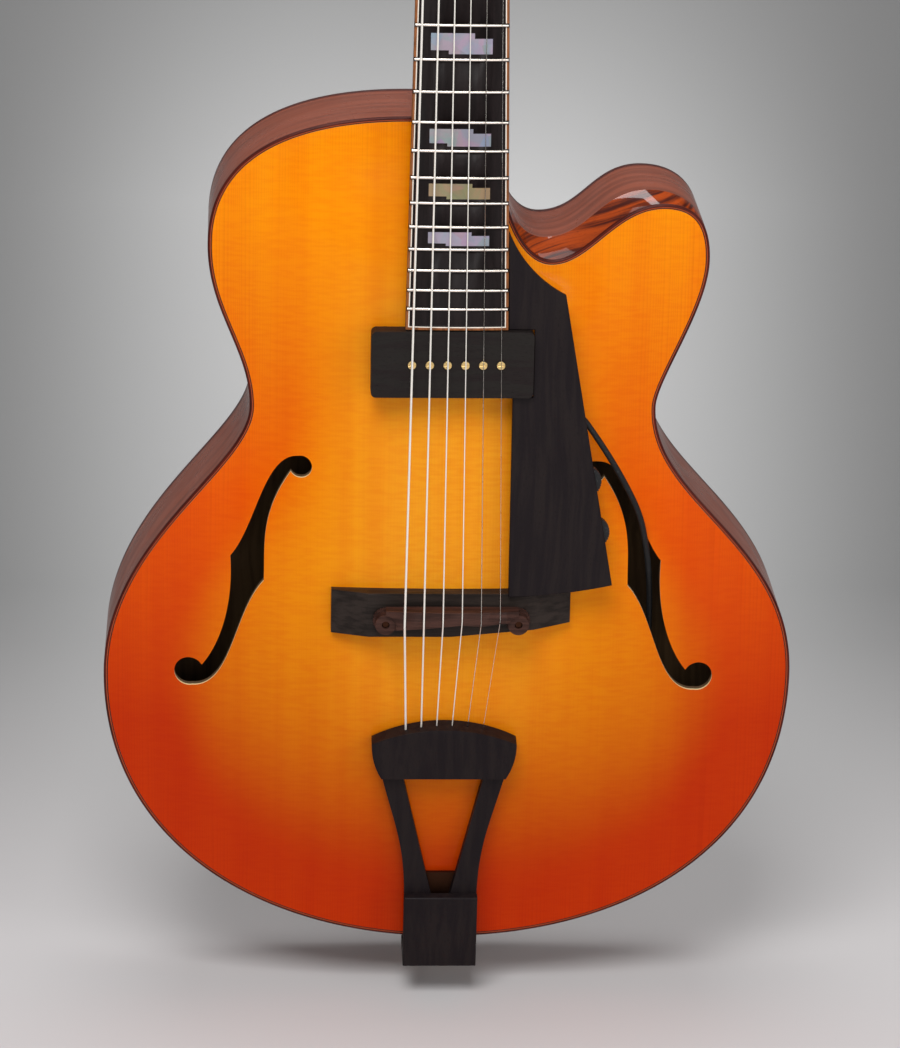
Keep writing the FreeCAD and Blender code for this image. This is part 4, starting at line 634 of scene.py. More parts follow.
class Materials:
    """Every finish of the guitar, built once from the shared groups and the colours."""

    grain_lines = 620.0
    grain_wander = 0.004

    def __init__(self, scene):
        self.finish = scene.archtop_finish
        self.body, self.neck = scene.archtop_body, scene.archtop_neck
        self.grain = straight_grain_group()
        self.figure = streaked_figure_group()
        self.handling = handling_group()
        self.made = {}

    def start(self, name, smooth, dull, **values):
        """Principled material with roughness from handling; the values go on its own sockets."""
        material = bpy.data.materials.new(name)
        material.use_nodes = True
        tree = material.node_tree
        shader = tree.nodes["Principled BSDF"]
        for key, value in values.items():
            shader.inputs[key.replace("_", " ")].default_value = value
        place = add(tree, "TexCoord").outputs["Object"]
        worn = add(tree, "Group", {"node_tree": self.handling}, Vector=place, Smooth=smooth, Dull=dull)
        tree.links.new(worn.outputs["Roughness"], shader.inputs["Roughness"])
        self.made[name] = material
        return tree, shader, place, worn

    @staticmethod
    def bump(tree, shader, height, strength, distance):
        """Let a height shape the shader's normal."""
        node = add(tree, "Bump", Strength=strength, Distance=distance, Height=height)
        tree.links.new(node.outputs[0], shader.inputs["Normal"])

    def straight_grain(self, tree, place):
        """The grain of the spruce at a place."""
        return add(tree, "Group", {"node_tree": self.grain}, Vector=place, Lines=self.grain_lines,
                   Wander=self.grain_wander)

    def spruce(self):
        """Lacquered top: rim and middle change colour from tail to neck, under upright grain and silk."""
        f = self.finish
        tree, shader, place, _ = self.start("Lacquered spruce", 0.34, 0.46, Coat_Weight=f.top_gloss,
                                            Coat_Roughness=0.08, Specular_IOR_Level=0.03)
        depth = mark(tree, "burst")
        cloud = noise(tree, place, 7.0, 2.0)
        drift = math_node(tree, "MULTIPLY", math_node(tree, "SUBTRACT", cloud, 0.5), 0.12)
        depth = math_node(tree, "ADD", depth, drift)
        split = add(tree, "SeparateXYZ", Vector=place)
        height = math_node(tree, "MULTIPLY", split.outputs[2], 2.0)
        rim = ramp(tree, height, ((0.28, f.tail_rim), (0.56, f.waist_rim), (0.90, f.neck_rim)))
        middle = ramp(tree, height, ((0.10, f.tail_middle), (0.50, f.waist_middle), (0.90, f.neck_middle)))
        burst = blend(tree, between(tree, depth, 0.47, 1.0), rim, middle)
        # Amber strip under the strings, partly painted light: its lower reach under the bridge lightens the
        # bridge's shadow
        strip = between(tree, math_node(tree, "ABSOLUTE", split.outputs[0]), 0.02, 0.085, 1.0, 0.0)
        strip = math_node(tree, "MULTIPLY", strip, between(tree, height, 0.18, 0.42))
        strip = math_node(tree, "MULTIPLY", strip, between(tree, height, 0.72, 0.92, 1.0, 0.0))
        burst = blend(tree, strip, burst, f.amber)
        grain = self.straight_grain(tree, place)
        strength = between(tree, depth, 0.1, 0.6, 0.34, 0.1)
        lines = math_node(tree, "MULTIPLY", grain.outputs["Lines"], strength)
        wood = blend(tree, lines, burst, (0.72, 0.45, 0.36), "MULTIPLY")
        bands = between(tree, grain.outputs["Bands"], 0.35, 0.75, 0.0, 0.5)
        wood = blend(tree, bands, wood, (0.92, 0.68, 0.5), "MULTIPLY")
        silk = between(tree, grain.outputs["Silk"], 0.35, 0.70, 0.0, 0.5)
        wood = blend(tree, silk, wood, (0.94, 0.74, 0.6), "MULTIPLY")
        tree.links.new(wood, shader.inputs["Base Color"])
        self.bump(tree, shader, grain.outputs["Lines"], 0.06, 0.0002)

    def raw_spruce(self):
        """Bare wood: pale where the f-holes cut the front of the plate, and darker farther in as painted
        shade for the dark inside of the body.
        """
        tree, shader, place, _ = self.start("Raw spruce", 0.65, 0.8)
        grain = self.straight_grain(tree, place)
        farther_in = mark(tree, "farther_in")
        # Painted shade: the inner wood colours are dark so that the inside of the body reads as shaded
        shaded_inner_wood = blend(tree, grain.outputs["Lines"], self.finish.inner_light, self.finish.inner_dark)
        wood = blend(tree, between(tree, farther_in, 0.26, 0.36), self.finish.raw_edge, shaded_inner_wood)
        tree.links.new(wood, shader.inputs["Base Color"])

    def wood(self, tree, place, light, dark, streaks, stretch, pores):
        """Streaked wood at a place as a colour and the mask of its pores."""
        figure = add(tree, "Group", {"node_tree": self.figure}, Vector=place, Streaks=streaks,
                     Stretch=stretch)
        tint = blend(tree, figure.outputs["Dark"], light, dark)
        pitted = math_node(tree, "MULTIPLY", figure.outputs["Pores"], pores)
        return blend(tree, pitted, tint, darker(dark, 0.3)), figure.outputs["Pores"]

    def streaked(self, name, light, dark, streaks, stretch, smooth, dull, coat, turn, pores=0.35):
        """Hardwood with dark streaks along its grain; turn brings the grain onto the first axis."""
        tree, shader, place, _ = self.start(name, smooth, dull, Coat_Weight=coat, Coat_Roughness=0.06,
                                            Specular_IOR_Level=0.12)
        if turn == "uv":
            place = add(tree, "TexCoord").outputs["UV"]
        else:
            place = add(tree, "Mapping", Vector=place, Rotation=turn).outputs[0]
        tint, pits = self.wood(tree, place, light, dark, streaks, stretch, pores)
        tree.links.new(tint, shader.inputs["Base Color"])
        self.bump(tree, shader, pits, 0.10, 0.0002)

    def sides(self):
        """Sides streaked round the rim; the cutaway's bevel is redder, with streaks that cross on a slant."""
        f = self.finish
        tree, shader, place, _ = self.start("Streaked sides", 0.26, 0.38, Coat_Roughness=0.04,
                                            Specular_IOR_Level=0.05)
        round_rim = add(tree, "TexCoord").outputs["UV"]
        slanted = add(tree, "Mapping", Vector=place, Rotation=(0, math.radians(18), 0),
                      Scale=(1.0, 0.12, 1.0)).outputs[0]
        side, pits = self.wood(tree, round_rim, f.side_light, f.side_dark, 150.0, 7.0, 0.25)
        red, _ = self.wood(tree, slanted, f.bevel_light, f.bevel_dark, 330.0, 8.0, 0.25)
        bevel = mark(tree, "bevel")
        tree.links.new(blend(tree, bevel, side, red), shader.inputs["Base Color"])
        coat = between(tree, bevel, 0.0, 1.0, 0.55 * f.gloss, 1.4 * f.gloss)
        tree.links.new(coat, shader.inputs["Coat Weight"])
        self.bump(tree, shader, pits, 0.06, 0.0002)

    def board_edge(self):
        """Fingerboard binding by distance from the board's edge: brown wood, a pale line, then dark wood."""
        f = self.finish
        tree, shader, place, _ = self.start("Board binding", 0.3, 0.45, Specular_IOR_Level=0.12)
        split = add(tree, "SeparateXYZ", Vector=place)
        nut, end = board_ends(self.body, self.neck)
        half = add(tree, "MapRange", Value=split.outputs[2], From_Min=end, From_Max=nut,
                   To_Min=self.neck.width_end / 2, To_Max=self.neck.width_nut / 2).outputs[0]
        from_side = math_node(tree, "SUBTRACT", half, math_node(tree, "ABSOLUTE", split.outputs[0]))
        inset = math_node(tree, "MINIMUM", from_side, math_node(tree, "SUBTRACT", split.outputs[2], end))
        upright = add(tree, "Mapping", Vector=place, Rotation=UPRIGHT).outputs[0]
        brown, dark_brown = f.board_binding, darker(f.board_binding, 0.55)
        tint, _ = self.wood(tree, upright, brown, dark_brown, 900.0, 30.0, 0.35)
        soft = 0.05 * MM
        for start, farther_in in ((1.5 * MM, f.board_line), (2.1 * MM, f.board)):
            tint = blend(tree, between(tree, inset, start - soft, start + soft), tint, farther_in)
        tree.links.new(tint, shader.inputs["Base Color"])

    def fret(self):
        """Fret wire: polished along the crown, with a painted dark reflection down its flanks."""
        tree, shader, _, _ = self.start("Fret metal", 0.18, 0.32, Metallic=1.0)
        crown = mark(tree, "crown")
        # Painted reflection: the flanks take a tenth of the metal's colour, standing in for the dark
        # surroundings that polished wire reflects
        painted_dark_flank = darker(self.finish.nickel, 0.1)
        tint = blend(tree, between(tree, crown, 0.80, 0.95), painted_dark_flank, self.finish.nickel)
        tree.links.new(tint, shader.inputs["Base Color"])

    def metal(self, name, tint, smooth, dull):
        """Polished or plated metal with faint tarnish in broad patches."""
        tree, shader, place, _ = self.start(name, smooth, dull, Metallic=1.0)
        tarnish = noise(tree, place, 60.0, 3.0)
        shade = blend(tree, between(tree, tarnish, 0.45, 0.8, 0.0, 0.4), tint, darker(tint, 0.6))
        tree.links.new(shade, shader.inputs["Base Color"])

    def wound(self):
        """Wound string: fine ridges round the string from the length in its UV map, with painted shade in the
        grooves between them.
        """
        tree, shader, _, _ = self.start("Wound string", 0.34, 0.46, Metallic=0.35)
        winding = 0.35 * MM
        along = add(tree, "SeparateXYZ", Vector=add(tree, "TexCoord").outputs["UV"]).outputs[1]
        ridge = math_node(tree, "SINE", math_node(tree, "MULTIPLY", along, 2 * math.pi / winding))
        # Painted shade: the grooves between the turns take eight tenths of the string's colour
        groove_painted_shade = darker(self.finish.string, 0.8)
        shade = blend(tree, between(tree, ridge, -1.0, 0.4), groove_painted_shade, self.finish.string)
        tree.links.new(shade, shader.inputs["Base Color"])
        self.bump(tree, shader, ridge, 0.15, 0.0001)

    def shell(self, name, tint):
        """Shell inlay: two tints that drift into each other, with faint coloured cells over them."""
        tree, shader, place, _ = self.start(name, 0.12, 0.25, Coat_Weight=0.6, Coat_Roughness=0.05)
        wave = noise(tree, place, 55.0, 3.0, Distortion=1.6)
        cells = add(tree, "TexVoronoi", Vector=place, Scale=95.0).outputs["Color"]
        rosy, greenish = np.array(tint) * ((1.1, 0.92, 1.0), (0.80, 1.0, 0.98))
        drift = blend(tree, between(tree, wave, 0.35, 0.65), rosy, greenish)
        tree.links.new(blend(tree, 0.12, drift, cells, "OVERLAY"), shader.inputs["Base Color"])

    def plain(self, name, tint, smooth, dull):
        """Bone, rubber, moulded plastic or a thin line: one colour clouded by soft noise, with dust."""
        tree, shader, place, worn = self.start(name, smooth, dull, Specular_IOR_Level=0.2)
        cloud = noise(tree, place, 120.0, 3.0)
        shade = blend(tree, between(tree, cloud, 0.3, 0.7, 0.0, 0.35), tint, darker(tint, 0.75))
        dust = math_node(tree, "MULTIPLY", worn.outputs["Specks"], 0.06)
        shade = blend(tree, dust, shade, (0.5, 0.5, 0.5))
        tree.links.new(shade, shader.inputs["Base Color"])
        self.bump(tree, shader, cloud, 0.05, 0.0002)

    def build(self):
        """Make every finish, by name."""
        f = self.finish
        self.spruce()
        self.raw_spruce()
        self.sides()
        self.board_edge()
        self.fret()
        self.wound()
        # Name, light, dark, streaks, stretch, smooth, dull, coat, turn and, where it isn't the usual, pores
        for row in (
                ("Streaked back", f.side_light, f.side_dark, 120.0, 4.0, 0.24, 0.36, f.gloss, UPRIGHT),
                ("Binding wood", f.binding, darker(f.binding, 0.5), 900.0, 30.0, 0.3, 0.4, 0.05, "uv"),
                ("Fingerboard", f.board, darker(f.board, 0.6), 260.0, 12.0, 0.42, 0.58, 0.0, UPRIGHT, 0.5),
                ("Ebony", f.ebony, f.ebony_streak, 260.0, 12.0, 0.42, 0.58, 0.0, UPRIGHT, 0.5),
                ("Charcoal cover", f.cover, f.ebony_streak, 300.0, 14.0, 0.45, 0.6, 0.0, SIDEWAYS, 0.6),
                ("Saddle rosewood", f.bridge, darker(f.bridge, 0.45), 420.0, 24.0, 0.40, 0.55, 0.0, SIDEWAYS),
                ("Bridge base", f.bridge_base, darker(f.bridge_base, 0.5), 300.0, 14.0, 0.42, 0.56, 0.0,
                 SIDEWAYS),
                ("Neck mahogany", f.neck, darker(f.neck, 0.5), 260.0, 10.0, 0.24, 0.34, f.gloss, UPRIGHT),
                ("Inner wood", f.inner_light, f.inner_dark, 200.0, 9.0, 0.6, 0.8, 0.0, UPRIGHT, 0.1)):
            self.streaked(*row)
        for row in (("Lilac shell", f.pearl), ("Green shell", f.pearl_green)):
            self.shell(*row)
        # Name, colour, smooth and dull roughness
        for row in (("Gold plate", f.gold, 0.30, 0.42), ("Bare steel", (0.45, 0.45, 0.46), 0.3, 0.5),
                    ("Dark bronze", (0.055, 0.022, 0.012), 0.45, 0.6),
                    ("Plain string", darker(f.string, 0.8), 0.2, 0.32)):
            self.metal(*row)
        for row in (("Pale line", f.line_pale, 0.3, 0.4), ("Dark line", f.line_dark, 0.3, 0.4),
                    ("Bone", (0.72, 0.63, 0.46), 0.3, 0.45),
                    ("Lead jacket", (0.012, 0.012, 0.013), 0.45, 0.6),
                    ("Black plastic", (0.014, 0.014, 0.015), 0.35, 0.5)):
            self.plain(*row)
        return self.made


# Neck frames

def neck_matrix(body, neck):
    """From the neck's own axes, with z up from the joint fret and y = 0 on the board, to the part's."""
    place = (0, -body.rim_depth / 2 - neck.board_lift, body.body_length + neck.joint_lead)
    return Matrix.Translation(place) @ Matrix.Rotation(-neck.neck_angle, 4, "X")


def head_matrix(body, neck):
    """From the head's own axes, with z up from the nut and y = 0 on the wood, to the part's."""
    step = Matrix.Translation((0, neck.head_step, joint_distance(neck) + neck.nut_thickness))
    return neck_matrix(body, neck) @ step @ Matrix.Rotation(-neck.head_angle, 4, "X")


def fret_distance(neck, fret):
    """Distance from the nut to a fret."""
    return neck.scale_length * (1 - 2.0 ** (-fret / 12))


def joint_distance(neck):
    """Distance from the nut to the joint fret."""
    return fret_distance(neck, neck.joint_fret)


def board_length(neck):
    """Distance from the nut to the fingerboard's end."""
    return fret_distance(neck, neck.fret_count) + neck.past_last_fret


def bridge_height(body, neck):
    """Height of the bridge line, one scale length from the nut."""
    past = neck.scale_length - joint_distance(neck)
    return body.body_length + neck.joint_lead - past * math.cos(neck.neck_angle)


def board_ends(body, neck):
    """Heights of the nut and of the fingerboard's end."""
    joint = body.body_length + neck.joint_lead
    slope = math.cos(neck.neck_angle)
    return joint + joint_distance(neck) * slope, joint - (board_length(neck) - joint_distance(neck)) * slope


def moved(points, matrix):
    """Points as an array, carried by a matrix."""
    return np.asarray(points) @ np.array(matrix.to_3x3()).T + np.array(matrix.translation)


def camber(x, radius):
    """Drop of a rounded board at a distance from its middle."""
    return radius - np.sqrt(radius ** 2 - x ** 2)


# Operators, one for each piece or group of like pieces

looks = {}


def look():
    """Finishes by name, built once for the session."""
    if not looks:
        looks.update(Materials(bpy.context.scene).build())
    return looks


class Dressing:
    """What the operators that finish solids share: rows of finish, edge radius in millimetres and nodes."""

    def execute(self, context):
        for finish, edge, *nodes in self.rows:
            for node in nodes:
                dressed(node, look()[finish], edge)
        return {"FINISHED"}


class ARCHTOP_OT_plates(bpy.types.Operator):
    """Build the carved top with its f-holes and the carved back"""
    bl_idname = "archtop.plates"
    bl_label = "Plates"

    def execute(self, context):
        body, neck = context.scene.archtop_body, context.scene.archtop_neck
        arch = Arch(body)
        bridge = bridge_height(body, neck)
        holes = [f_hole_loop(-1, 0, bridge - body.hole_drop),
                 f_hole_loop(1, body.treble_hole_shift, bridge - body.treble_hole_drop)]
        made = look()
        top_finishes = (made["Lacquered spruce"], made["Raw spruce"])
        # The back's inner face takes the inner wood, darkened as painted shade
        back_finishes = (made["Streaked back"], made["Inner wood"])
        self.plate(body, arch, "top_plate", -1, body.top_rise, holes, top_finishes)
        self.plate(body, arch, "back_plate", 1, body.back_rise, [], back_finishes)
        return {"FINISHED"}

    def plate(self, body, arch, node, side, rise, holes, materials):
        """Arched sheet: an even grid of points in the rim, lifted by the arch, with inner face and walls."""
        loop, inward = outline_loop(body, side > 0)
        loop = loop + inward * (body.binding_width + body.glue_gap / 2)
        step = body.mesh_spacing
        # Shares of the spacing: between rows, and kept clear along the edges
        row_share, clear_share = 0.866, 0.45
        blocks, merge_distance = 40, 1e-7
        x = np.arange(-body.lower_bout_half, body.lower_bout_half, step)
        z = np.arange(0, body.body_length, step * row_share)
        grid_x, grid_z = np.meshgrid(x, z)
        grid_x[1::2] += step / 2
        grid = np.stack([grid_x.ravel(), grid_z.ravel()], 1)
        grid = grid[inside(grid, loop)]
        for hole in holes:
            grid = grid[~inside(grid, hole)]
        loops = [loop] + holes
        edge = np.concatenate(loops)
        for block in np.array_split(edge, blocks):
            near = ((grid[:, None] - block[None]) ** 2).sum(2).min(1)
            grid = grid[near > (clear_share * step) ** 2]
        starts = np.cumsum([0] + [len(part) for part in loops])
        rings = [start + np.arange(len(part)) for start, part in zip(starts, loops)]
        chains = np.concatenate([np.stack([ring, np.roll(ring, -1)], 1) for ring in rings])
        flat = [Vector(point) for point in np.concatenate([edge, grid]).tolist()]
        verts, _, faces, origins, _, _ = delaunay_2d_cdt(flat, chains.tolist(), [], 0, merge_distance)
        places, faces = np.array(verts), np.array(faces)
        new_index = np.zeros(len(flat), int)
        new_index[np.concatenate(origins)] = np.repeat(np.arange(len(verts)), [len(each) for each in origins])
        centres = places[faces].mean(1)
        kept = inside(centres, loop)
        for hole in holes:
            kept &= ~inside(centres, hole)
        faces = faces[kept]

        height = body.rim_depth / 2 + rise * arch.at(places)
        outer = np.stack([places[:, 0], side * height, places[:, 1]], 1)
        inner = outer - np.array([0, side * body.plate_thickness, 0])
        first, second, third = outer[faces.T]
        turned = np.cross(second - first, third - first)[:, 1]
        faces = np.where((turned * side < 0)[:, None], faces[:, ::-1], faces)
        size = len(places)
        walls = np.concatenate([new_index[chains], new_index[chains[:, ::-1]] + size], 1)
        sheets = np.concatenate([faces, faces[:, ::-1] + size])
        slots = [0] * len(faces) + [1] * (len(faces) + len(walls))
        points = np.concatenate([outer, inner])
        obj = make_object(node + "_skin", points, sheets.tolist() + walls.tolist(), None, slots)
        mark_points(obj, "burst", np.tile(arch.at(places, 1), 2))
        mark_points(obj, "farther_in", np.repeat([0.0, 1.0], size))
        for material in materials:
            obj.data.materials.append(material)
        outward(obj)
        stand_for(obj, node)


def rim_sweep(name, body, profile, slots, materials, nodes, uv_shift=0.0):
    """A closed profile of (inset, y, rear, bevel) carried round the rim.

    Rear goes from 0 on the front rim to 1 on the rear one, bevel marks the bevel's own finish where the
    two rims lie apart, and slots gives each profile side its finish."""
    front, front_inward = outline_loop(body)
    rear, rear_inward = outline_loop(body, True)
    inset, depth, share_rear, on_bevel = np.array(profile).T
    near, far = (1 - share_rear)[None, :, None], share_rear[None, :, None]
    places = front[:, None] * near + rear[:, None] * far
    places = places + (front_inward[:, None] * near + rear_inward[:, None] * far) * inset[None, :, None]
    points = np.stack([places[..., 0], np.broadcast_to(depth, places.shape[:2]), places[..., 1]], -1)
    faces, r, c = grid_faces(len(front), len(profile), True, True)
    along = lengths_along(np.concatenate([front, front[:1]]))
    ring = np.stack([inset, depth], 1)
    rise = lengths_along(np.concatenate([ring, ring[:1]]))
    uv = np.stack([along[r] + uv_shift, rise[c]], -1)
    obj = make_object(name, points, faces.tolist(), uv, np.array(slots)[c[:, 0]])
    full_bevel = 2.5 * MM
    apart = np.clip(np.linalg.norm(rear - front, axis=1) / full_bevel, 0, 1)
    mark_points(obj, "bevel", (apart[:, None] * on_bevel).ravel())
    for material in materials:
        obj.data.materials.append(material)
    outward(obj)
    return stand_for(obj, *nodes)


class ARCHTOP_OT_rim(bpy.types.Operator):
    """Build the bent sides with the bevelled cutaway, and the lined bindings round both plates"""
    bl_idname = "archtop.rim"
    bl_label = "Sides and bindings"

    # Where the grain of the bindings starts along the rim, in metres
    grain_start = 0.3

    def execute(self, context):
        body, made = context.scene.archtop_body, look()
        self.sides(body, (made["Streaked sides"], made["Inner wood"]))
        finishes = (made["Binding wood"], made["Pale line"], made["Dark line"])
        half, wide = body.rim_depth / 2, body.binding_width
        edge = self.rounded_edge(0.8 * MM)
        lines = [0.56 * wide, 0.76 * wide, wide]
        tall = body.top_binding_height
        front = [(0, tall - half)] + [(inset, drop - half) for inset, drop in edge]
        front += [(inset, -half) for inset in lines] + [(wide, tall - half)]
        rim_sweep("top_binding_lines", body, [(*point, 0, 0) for point in front],
                  [0] * 6 + [1, 2, 2, 2], finishes, ("top_binding",), self.grain_start)
        low = half - body.back_binding_height
        back = [(0, low), (0, low + 0.6 * MM), (0, low + 1.1 * MM)]
        back += [(inset, half - drop) for inset, drop in edge]
        back += [(inset, half) for inset in lines] + [(wide, low)]
        rim_sweep("back_binding_lines", body, [(*point, 1, 0) for point in back],
                  [2, 1] + [0] * 6 + [1, 2, 2, 2], finishes, ("back_binding",), self.grain_start)
        return {"FINISHED"}

    @staticmethod
    def rounded_edge(soft):
        """Quarter circle over the binding's outer corner, as (inset, drop) points."""
        turns = np.linspace(0, math.pi / 2, 5)
        return [(soft * (1 - math.cos(t)), soft * (1 - math.sin(t))) for t in turns]

    @staticmethod
    def sides(body, materials):
        """Outer wall from the top binding over the bevel to the back binding, then back up the inner wall."""
        half, thick = body.rim_depth / 2, body.side_thickness
        front_edge = body.top_binding_height + body.glue_gap / 2 - half
        foot, block = body.bevel_depth - half, body.block_depth - half
        rear_edge = half - body.back_binding_height - body.glue_gap / 2
        bevel = [(0, front_edge, 0, 1), (0, foot - 0.01 * MM, 1, 1)]
        wall = [(0, y, 1, 0) for y in np.linspace(foot, rear_edge, 8)]
        inner = [(thick, y, rear, 0) for y, rear in ((rear_edge, 1), (block, 1), (foot, 0), (front_edge, 0))]
        rim_sweep("sides_skin", body, bevel + wall + inner, [0] * 9 + [1] * 5, materials,
                  ("bass_side", "treble_side"))


class ARCHTOP_OT_neck(Dressing, bpy.types.Operator):
    """Finish the neck, heel cap, headstock and truss rod"""
    bl_idname = "archtop.neck"
    bl_label = "Neck"

    rows = (("Ebony", 0.35, "headstock_face", "heel_cap", "truss_cover"), ("Gold plate", 0.2, "cover_screws"),
            ("Bare steel", 0, "truss_rod"), ("Bare steel", 0.2, "truss_nut"))

    def execute(self, context):
        dressed("neck", look()["Neck mahogany"], 0.5, math.radians(25))
        return super().execute(context)


class ARCHTOP_OT_fingerboard(bpy.types.Operator):
    """Build the frets and finish the fingerboard, its binding, the inlays and the nut"""
    bl_idname = "archtop.fingerboard"
    bl_label = "Fingerboard"

    def execute(self, context):
        body, neck, made = context.scene.archtop_body, context.scene.archtop_neck, look()
        dressed("fingerboard", made["Fingerboard"], 0)
        dressed("fingerboard_binding", made["Board binding"], 0.3)
        inlays = dressed("position_inlays", made["Lilac shell"], 0)
        self.odd_marker(body, neck, inlays, made["Green shell"])
        dressed("nut", made["Bone"], 0.25)
        stand_for(self.frets(body, neck, made["Fret metal"]), "frets")
        return {"FINISHED"}

    @staticmethod
    def odd_marker(body, neck, inlays, material):
        """Give the marker under the seventeenth fret its own shell."""
        inlays.data.materials.append(material)
        low, high = (joint_distance(neck) - fret_distance(neck, fret) for fret in (17, 16))
        faces = inlays.data.polygons
        centres = np.zeros(3 * len(faces))
        faces.foreach_get("center", centres)
        height = moved(centres.reshape(-1, 3), neck_matrix(body, neck).inverted())[:, 2]
        faces.foreach_set("material_index", ((low < height) & (height < high)).astype(np.int32))

    @staticmethod
    def frets(body, neck, material):
        """Crowned wires: a half ellipse carried across the camber, with sloped ends, once for each fret."""
        number = np.arange(1, neck.fret_count + 1)
        distance = fret_distance(neck, number)
        half = (neck.width_nut + (neck.width_end - neck.width_nut) * distance / board_length(neck)) / 2
        columns, seat, end_slope = 25, 0.02 * MM, 0.55
        turn = np.linspace(0, np.pi, 9)
        across = np.concatenate([np.cos(turn), [-0.95, 0.95]]) * neck.fret_width / 2
        up = np.concatenate([np.sin(turn) * neck.fret_height + seat, [seat, seat]])
        t = np.linspace(-1, 1, columns)
        x = half[:, None, None] * t[None, :, None] * np.ones(len(up))
        x = x - np.where(np.abs(t) == 1, np.sign(t), 0)[None, :, None] * up * end_slope
        y = camber(x, neck.board_radius) - up
        z = (joint_distance(neck) - distance)[:, None, None] + across + np.zeros_like(x)
        points = moved(np.stack([x, y, z], -1).reshape(-1, 3), neck_matrix(body, neck))
        one, _, _ = grid_faces(columns, len(up), False, True)
        each = columns * len(up)
        faces = (one[None] + each * np.arange(len(number))[:, None, None]).reshape(-1, 4).tolist()
        ring = np.arange(len(up))
        for first in range(0, len(number) * each, each):
            last = first + each - len(up)
            faces += [(ring + first).tolist(), (ring[::-1] + last).tolist()]
        obj = make_object("fret_wires", points, faces)
        mark_points(obj, "crown", np.tile(up / up.max(), columns * len(number)))
        obj.data.materials.append(material)
        outward(obj)
        return obj


class ARCHTOP_OT_tuners(Dressing, bpy.types.Operator):
    """Finish the tuning machines"""
    bl_idname = "archtop.tuners"
    bl_label = "Tuning machines"

    rows = (("Gold plate", 0.3, "tuner_housings", "tuner_bushings", "tuner_screws"),
            *(("Gold plate", edge, "tuner_%s_%d" % (kind, number))
              for number in range(1, 7) for kind, edge in (("key", 0.15), ("post", 0.2))))


